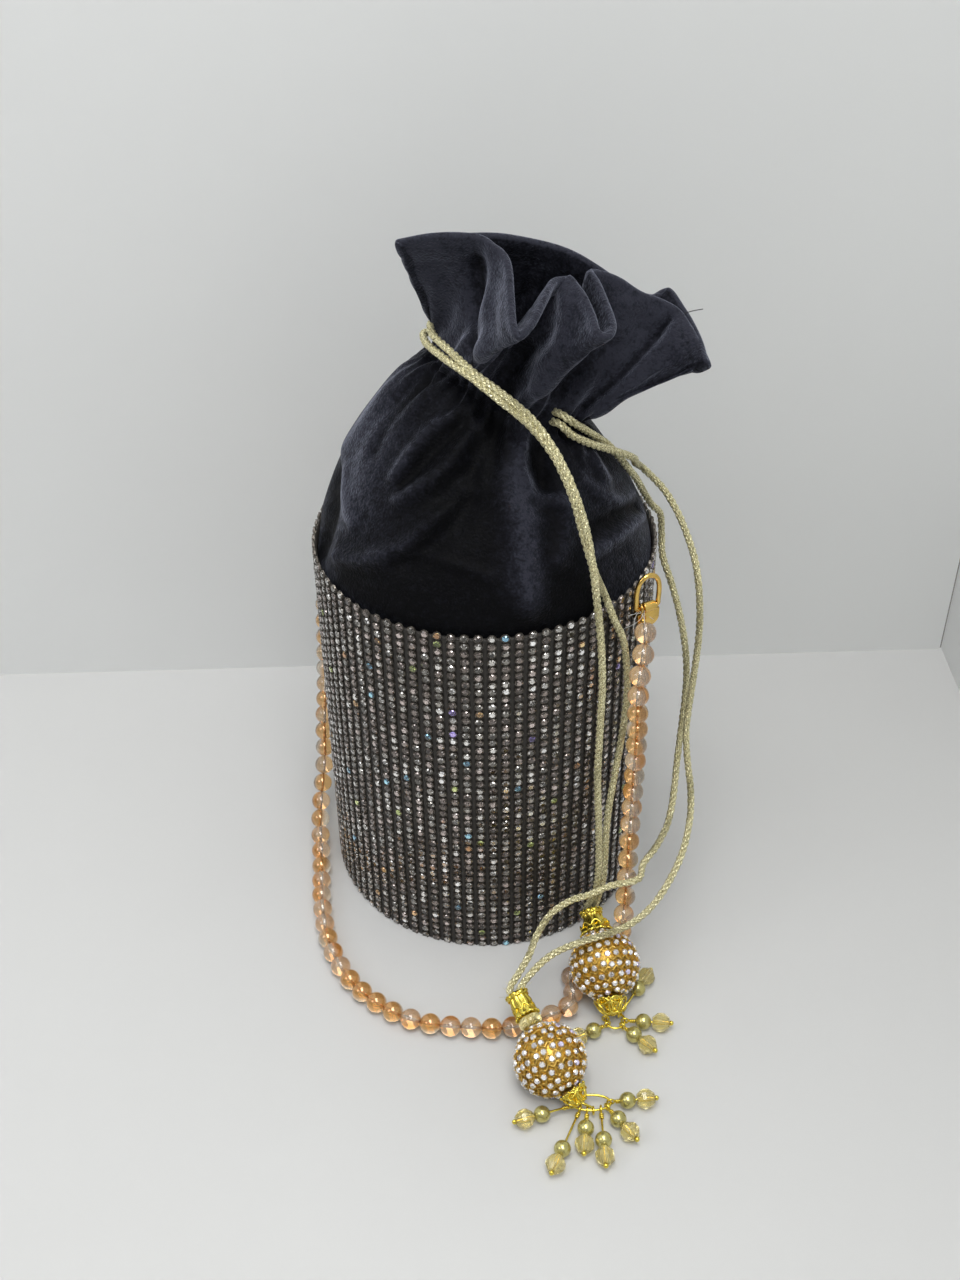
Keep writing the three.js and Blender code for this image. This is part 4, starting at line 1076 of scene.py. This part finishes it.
bead_shape = Pile()
bead_shape.turned(arc_outline(BEAD_RADIUS, math.asin(BEAD_BORE / BEAD_RADIUS), 12), (0, 0, 0), (0, 0, 1), 20)
bead_part = part_of("bead_part", bead_shape, PEACH, smooth=True)
plating = bead_part.data.attributes.new("plating", "FLOAT", "POINT")
plating.data.foreach_set("value", [0.5 + v.co.x / (2 * BEAD_RADIUS * MM) for v in bead_part.data.vertices])
bead_spots = strand[4::8][:BEAD_COUNT]
bead_ways = unit(strand[5::8][:BEAD_COUNT] - strand[3::8][:BEAD_COUNT])
beads = repeat("glass_beads", bead_spots, bead_ways, bead_part, PEACH, spin=math.pi, seed=11)

string = Pile()
string.tube(strand, 0.40, sides=6)
string_object = string.make("bead_string", STRING)
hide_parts("bead_handle")
loops = Pile()
for centre, first, down, edge in (right_end, left_end):
    along = frames["right"][2] if centre[0] > 0 else frames["left"][2]
    side = unit(np.cross(along, down))
    loops.tube(loop_line(centre, down, side, LOOP_RADIUS, 28), 0.35, sides=8, closed=True)
    loops.tube(np.linspace(centre + down * LOOP_RADIUS, edge + down * 0.5, 6), 0.35, sides=8)
    loops.ball(edge - down * 0.3, 1.0)
loops_object = loops.make("handle_loops", GOLD)
for piece, slot_name in ((string_object, "peach_glass"), (beads, "peach_glass"), (loops_object, "gold")):
    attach(piece, "bag")

# %% [markdown]
# ## Tassels

# %%
BALL_RADIUS, CAP_LENGTH, EYE_RADIUS, PIN_RADIUS = 13.2, 9.0, 1.25, 0.4
PEARL_RADIUS, CRYSTAL_RADIUS, CRYSTAL_LENGTH = 3.0, 3.6, 6.4
TASSELS = {
    "tassel_a": dict(
        ball=(78.1, -54, 15.3), turn=-50, drop=20, lower=(-55, 26), spacer=0,
        link=((88.6, -66.8, 3), 0, 3.6, 3.6), hang=-165,
        dangles=[(84, (90.8, -43)), (26, (104.2, -60.2)), (-18, (103.6, -71.6)), (-122, (79.8, -80.2))]),
    "tassel_b": dict(
        ball=(77.8, -100.6, 13.3), turn=-36, drop=15, lower=(-23, 23), spacer=4.4,
        link=((95.5, -103.4, 3), 28, 7, 3.2), hang=-85,
        dangles=[(-160, (77.7, -120.5)), (-125, (95, -131.5)), (-103, (100.6, -119.9)),
                 (-62, (108.8, -120.9)), (-37, (112.6, -108.2)), (5, (112.2, -93.3))]),
}


# No stone is set where a dangle's pearl comes up against the ball
STONE_CLEARANCE, STONE_FLOOR = 2.4, 1.5
DANGLE_LIFTS = {"tassel_a": (10, 25, 25, 25), "tassel_b": (25, 25, 25, 25, 25, 25)}
# How far from the cap's axis its wire loops stand, and their radius
PETALS = {"tassel_a": (4.3, 2.5), "tassel_b": (3.4, 2.0)}


def link_spot(link, degrees):
    centre, turn, long_, short = link
    at = math.radians(degrees)
    spot = np.array(centre, float) + heading(turn) * long_ * math.cos(at)
    return spot + heading(turn + 90) * short * math.sin(at)


def flutes(count, depth):
    return lambda angle, height: 1 + depth * np.abs(np.cos(count * angle / 2)) - depth / 2 + 0 * height


def jewelled_ball(name, centre, axis, raised_pearls):
    """A glitter ball with rows of stones in gold cups and a zigzag of gold between the rows."""
    core = Pile()
    core.turned(arc_outline(BALL_RADIUS - 0.9, 0.02, 24), centre, axis, 40)
    core_object = core.make(name + "_core", AMBER)
    side = unit(np.cross(axis, [0, 0, 1.0]))
    up = np.cross(axis, side)
    spots, ways = [], []
    zigzag = Pile()
    rows = 9
    for r in range(rows):
        tilt = math.radians(22 + 136 * r / (rows - 1))
        count = max(int(round(2 * math.pi * BALL_RADIUS * math.sin(tilt) / 3.6)), 5)
        for k in range(count):
            turn = 2 * math.pi * (k + 0.5 * (r % 2) + 0.17 * rng.uniform(-1, 1)) / count
            lean = tilt + math.radians(2.2) * rng.uniform(-1, 1)
            way = math.cos(lean) * axis + math.sin(lean) * (math.cos(turn) * side + math.sin(turn) * up)
            spot = centre + way * (BALL_RADIUS - 0.75)
            nearest = min(np.linalg.norm(spot - pearl) for pearl in raised_pearls)
            if spot[2] > STONE_FLOOR and nearest > PEARL_RADIUS + STONE_CLEARANCE:
                spots.append(spot)
                ways.append(way)
        if r < rows - 1:
            line = []
            for k in range(2 * count):
                turn = math.pi * k / count
                lean = tilt + math.radians(8.5 + (3.6 if k % 2 else -3.6))
                way = math.cos(lean) * axis + math.sin(lean) * (math.cos(turn) * side + math.sin(turn) * up)
                line.append(centre + way * (BALL_RADIUS - 0.7))
            even = resample(np.array(line + line[:1]), len(line) * 2, closed=True)
            zigzag.tube(even, 0.42, sides=5, closed=True)
    jewels = repeat(name + "_stones", spots, ways, ball_stone, CLEAR_STONE, tilt=0.12, seed=21)
    seats = repeat(name + "_seats", spots, ways, ball_cup, ROUGH_GOLD, tilt=0.05, seed=22)
    return [core_object, jewels, seats, zigzag.make(name + "_zigzag", ROUGH_GOLD)]


ball_stone = part_of("ball_stone", chaton(radius=1.25, crown=0.9), CLEAR_STONE)
ball_cup = part_of("ball_cup", cup_shape(radius=1.34, height=0.75), ROUGH_GOLD)


def filigree_cap(pile, base, axis, wide, narrow, length, petals=8):
    """A fluted bell with a beaded rim, rolled bands and a row of small arches."""
    stations = [(wide, 0), (wide * 0.97, length * 0.08), (wide * 0.84, length * 0.3),
                (narrow * 1.18, length * 0.55), (narrow * 1.0, length * 0.8), (narrow * 1.1, length * 0.9),
                (narrow * 1.25, length)]
    outline = stations + [(max(r - 0.5, 0.4), h) for r, h in stations[::-1]]
    pile.turned(outline, base, axis, petals * 8, flutes(petals, 0.16))
    side = unit(np.cross(axis, [0.1, 0.3, 1.0]))
    up = np.cross(axis, side)

    def ring(radius, height, count, lift=0.0):
        share = np.arange(count)[:, None] / count
        rise = height + lift * np.abs(np.sin(petals * math.pi * share))
        turn = 2 * math.pi * share
        return base + axis * rise + radius * (np.cos(turn) * side + np.sin(turn) * up)

    pile.tube(ring(narrow * 1.16, length * 0.86, 40), 0.34, sides=6, closed=True)
    pile.tube(ring(wide * 0.93, length * 0.2, 96, lift=length * 0.22), 0.30, sides=5, closed=True)
    for spot in ring(wide * 1.02, 0.0, petals * 2):
        pile.ball(spot, 0.55, 7, 5)
    for spot in ring(narrow * 1.28, length, petals * 2):
        pile.ball(spot, 0.36, 6, 4)


def crystal_shape(pile, centre, axis):
    half, r = CRYSTAL_LENGTH / 2, CRYSTAL_RADIUS
    outline = [(0.7, -half), (r * 0.5, -half), (r * 0.93, -half * 0.42), (r * 0.98, 0), (r * 0.93, half * 0.42),
               (r * 0.5, half), (0.7, half)]
    pile.turned(outline, centre, axis, 8)


def stand_in(pile, name, node, material, body, slot_name, smooth=True):
    return belongs(pile.make(name, material, smooth), slot_name, body, [node])


for name, spec in TASSELS.items():
    centre, axis = np.array(spec["ball"], float), heading(spec["turn"], spec["drop"])
    raised = []
    for (at, (x, y)), most in zip(spec["dangles"], DANGLE_LIFTS[name]):
        hook = link_spot(spec["link"], at)
        swing = np.array([x - hook[0], y - hook[1], 0.0])
        reach = np.linalg.norm(swing)
        to_pearl = reach - CRYSTAL_LENGTH / 2 - 0.3 - PEARL_RADIUS
        lift = math.radians(most)
        raised.append(hook + to_pearl * (swing / reach * math.cos(lift) + np.array([0, 0, math.sin(lift)])))
    pieces = jewelled_ball(name, centre, -axis, raised)
    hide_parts(f"{name}_ball")
    for piece, slot_name in zip(pieces, ("glitter", "glitter", "gold", "gold")):
        belongs(piece, slot_name)
    seat = BALL_RADIUS - 0.6
    if spec["spacer"]:
        s = spec["spacer"]
        spacer = Pile()
        outline = [(1, 0), (s * 0.6, 0), (s * 0.9, 0.5), (s, 1.3), (s, 2.9), (s * 0.9, 3.7), (s * 0.6, 4.2),
                   (1, 4.2)]
        spacer.turned(outline, centre - axis * (BALL_RADIUS + 0.3), -axis, 32)
        pieces.append(stand_in(spacer, f"{name}_clear_spacer", f"{name}_spacer", CRYSTAL, "bag", "amber_glass"))
        seat = BALL_RADIUS + 4.8
    cap = Pile()
    filigree_cap(cap, centre - axis * seat, -axis, 4.4 if spec["spacer"] else 6.0, 3.4, CAP_LENGTH)
    pieces.append(stand_in(cap, f"{name}_cap", f"{name}_top_cap", LEMON_GOLD, "bag", "gold"))
    low_axis = heading(*spec["lower"])
    low = Pile()
    filigree_cap(low, centre + low_axis * (BALL_RADIUS - 0.1), low_axis, 5.0, 1.9, 5.0, petals=6)
    neck_to = centre + low_axis * (BALL_RADIUS + 5.4)
    level_side = unit(np.cross(low_axis, [0, 0, 1.0]))
    petal_out, petal_radius = PETALS[name]
    for k in range(7):
        spin = 2 * math.pi * k / 7
        outward = math.cos(spin) * level_side + math.sin(spin) * np.cross(low_axis, level_side)
        lean = unit(outward * 0.55 - low_axis * 0.85)
        middle = centre + low_axis * (BALL_RADIUS + 2.6) + outward * petal_out
        if middle[2] > max(3.4, petal_radius * 1.3 + 0.5):
            petal = loop_line(middle, lean * 1.3, np.cross(low_axis, outward), petal_radius)
            low.tube(petal, 0.36, sides=6, closed=True)
    low.tube(np.linspace(centre + low_axis * (BALL_RADIUS + 1.2), neck_to, 4), 1.6, sides=14)
    wire = link_spot(spec["link"], spec["hang"])
    tangent = unit(link_spot(spec["link"], spec["hang"] + 3) - wire)
    top = wire + np.array([0, 0, EYE_RADIUS])
    low.tube(np.linspace(neck_to - low_axis * 0.6, top, 5), 0.5, sides=8)
    upright = np.array([0, 0, 1.0])
    low.tube(loop_line(wire, upright, unit(np.cross(tangent, upright)), EYE_RADIUS), PIN_RADIUS, closed=True)
    pieces.append(stand_in(low, f"{name}_low_cap", f"{name}_lower_cap", LEMON_GOLD, "bag", "gold"))
    oval = Pile()
    oval.tube(np.array([link_spot(spec["link"], a) for a in range(0, 360, 8)]), 0.45, sides=8, closed=True)
    pieces.append(stand_in(oval, f"{name}_oval", f"{name}_link", LEMON_GOLD, "bag", "gold"))
    for i, (at, (x, y)) in enumerate(spec["dangles"], 1):
        hook = link_spot(spec["link"], at)
        end = np.array([x, y, CRYSTAL_RADIUS * 0.92 + 0.1])
        reach = np.linalg.norm(end - hook)
        way = (end - hook) / reach
        body = f"{name}_dangle_{i}"
        sideways = unit(np.array([-way[1], way[0], 0.0]))
        pin = Pile()
        pin.tube(loop_line(hook, way, np.cross(sideways, way), EYE_RADIUS), PIN_RADIUS, sides=8, closed=True)
        tip = hook + way * (reach + CRYSTAL_LENGTH / 2 + 0.6)
        pin.tube(np.linspace(hook + way * EYE_RADIUS, tip, 4), PIN_RADIUS)
        coil_turn = np.linspace(0, 3 * 2 * math.pi, 40)[:, None]
        coil_rise = np.linspace(EYE_RADIUS + 0.5, EYE_RADIUS + 2.6, 40)[:, None]
        coil = np.cos(coil_turn) * sideways + np.sin(coil_turn) * np.cross(sideways, way)
        pin.tube(hook + way * coil_rise + 0.62 * coil, 0.28, sides=6)
        pin.ball(tip, 0.95)
        stand_in(pin, body + "_wire", body + "_pin", LEMON_GOLD, body, "gold")
        pearl = Pile()
        pearl_centre = hook + way * (reach - CRYSTAL_LENGTH / 2 - 0.3 - PEARL_RADIUS)
        pearl.turned(arc_outline(PEARL_RADIUS, math.asin(0.7 / PEARL_RADIUS), 12), pearl_centre, way, 20)
        stand_in(pearl, body + "_round", body + "_pearl", PEARL, body, "pearl")
        gem = Pile()
        crystal_shape(gem, end, way)
        stand_in(gem, body + "_gem", body + "_crystal", CRYSTAL, body, "amber_glass", smooth=False)
    mouth = centre - axis * (seat + CAP_LENGTH)
    fray = wisps(f"{name}_fray", mouth, -axis, 16, 5.0, CORD, thick=0.07, spread=0.7)
    pieces.append(belongs(fray, "metallic_cord"))

# %% [markdown]
# ## Loose threads, and the inside

# %%
threads = Pile()
for route, count in (
        ([(59.9, 21.1, 245), (61.9, 22.8, 245.7), (63.7, 24.2, 246.2), (66.4, 26.1, 246.6)], 14),
        ([(60.6, 20.5, 244.7), (63.1, 19.5, 242.9), (65.3, 19.5, 241.7), (66.7, 19.5, 240.9)], 12)):
    threads.tube(catmull(route, count), 0.16, sides=5)
threads_object = belongs(threads.make("loose_threads", THREAD), "velvet")
tab_spot = from_fitting(frames["right"], [(0.5, -2.5, -1.0)])[0]
stray_way = frames["right"][1] * 0.3 + [0, 0, -0.2]
stray = wisps("stray_threads", tab_spot, stray_way, 9, 7.0, PALE_THREAD, thick=0.09, spread=0.9)
belongs(stray, "peach_glass")

for node, material in (("board_tube", BOARD), ("base_disc", BOARD), ("lining_bag", SATIN)):
    piece = frame["nodes"][node]
    piece.data.materials.clear()
    piece.data.materials.append(material)
    for polygon in piece.data.polygons:
        polygon.use_smooth = abs(polygon.normal.z) < 0.5

# %% [markdown]
# ## Stage and light


# %%
def stage_plane(name, corners, material):
    mesh = bpy.data.meshes.new(name)
    mesh.from_pydata([Vector(c) for c in corners], [], [(0, 1, 2, 3)])
    mesh.materials.append(material)
    obj = bpy.data.objects.new(name, mesh)
    bpy.context.scene.collection.objects.link(obj)


def one_way(material):
    """Lets the camera look through the plane from behind."""
    tree = material.node_tree
    surface = tree.nodes["Principled BSDF"]
    target = tree.nodes["Material Output"].inputs["Surface"]
    side = shade(tree, "ShaderNodeNewGeometry")
    clear = shade(tree, "ShaderNodeBsdfTransparent")
    pick = shade(tree, "ShaderNodeMixShader")
    join(tree, side.outputs["Backfacing"], pick.inputs[0])
    join(tree, surface.outputs[0], pick.inputs[1])
    join(tree, clear.outputs[0], pick.inputs[2])
    join(tree, pick.outputs[0], target)
    return material


FLOOR = plain("floor", (0.58, 0.58, 0.57), 0.30, scale=3, strength=0.0, shade_of=0.97)
WALL = one_way(plain("wall", (0.80, 0.81, 0.80), 0.8, scale=3, strength=0.0, shade_of=0.97))
WALL_AWAY = 0.1144
CORNER = 0.2225
FAR, SIDE_WALL_END, BELOW = 3, -0.5, -0.01


def in_room(x, y, z):
    """A spot x along the back wall, y towards it and z up, all in metres."""
    return Vector((0.870, 0.493, 0)) * x + Vector((-0.493, 0.870, 0)) * y + Vector((0, 0, z))


stage_plane("floor", [in_room(x, y, 0)
                      for x, y in ((-FAR, -FAR), (FAR, -FAR), (FAR, WALL_AWAY), (-FAR, WALL_AWAY))], FLOOR)
stage_plane("wall", [in_room(x, WALL_AWAY - 0.001, z)
                     for x, z in ((-FAR, BELOW), (CORNER, BELOW), (CORNER, FAR), (-FAR, FAR))], WALL)
stage_plane("side_wall", [in_room(CORNER + 0.001, y, z) for y, z in (
    (WALL_AWAY, BELOW), (SIDE_WALL_END, BELOW), (SIDE_WALL_END, FAR), (WALL_AWAY, FAR))], WALL)


def area_light(name, spot, target, side, power, color=(1, 1, 1)):
    data = bpy.data.lights.new(name, "AREA")
    data.shape = "SQUARE"
    data.size = side
    data.energy = power
    data.color = color
    obj = bpy.data.objects.new(name, data)
    bpy.context.scene.collection.objects.link(obj)
    obj.location = spot
    obj.rotation_euler = (Vector(target) - Vector(spot)).to_track_quat("-Z", "Y").to_euler()


area_light("ceiling", (0.42, -0.25, 1.5), (0.05, 0, 0.1), 1.1, 28)
area_light("window", (-0.7, -1.0, 1.1), (0, 0, 0.12), 0.6, 3.2, (0.95, 0.97, 1))
area_light("spots", (0.5, -0.15, 1.1), (0.02, 0, 0.1), 0.08, 3.2, (1, 0.98, 0.95))

world = bpy.data.worlds.new("room")
world.use_nodes = True
bpy.context.scene.world = world
room = world.node_tree
sky = room.nodes["Background"]
where = shade(room, "ShaderNodeTexCoord")
split = shade(room, "ShaderNodeSeparateXYZ")
join(room, where.outputs["Generated"], split.inputs[0])
glow = ramp(room, split.outputs["Z"], [
    (0.0, (0.30, 0.29, 0.28, 1)), (0.35, grey(0.5)), (0.9, (0.95, 0.96, 1.0, 1))])
join(room, glow, sky.inputs["Color"])
sky.inputs["Strength"].default_value = 0.66
bpy.context.scene.view_settings.view_transform = "Standard"

# %% [markdown]
# ## Sizes, and the end

# %%
low, high = cad_box
bpy.context.view_layer.update()
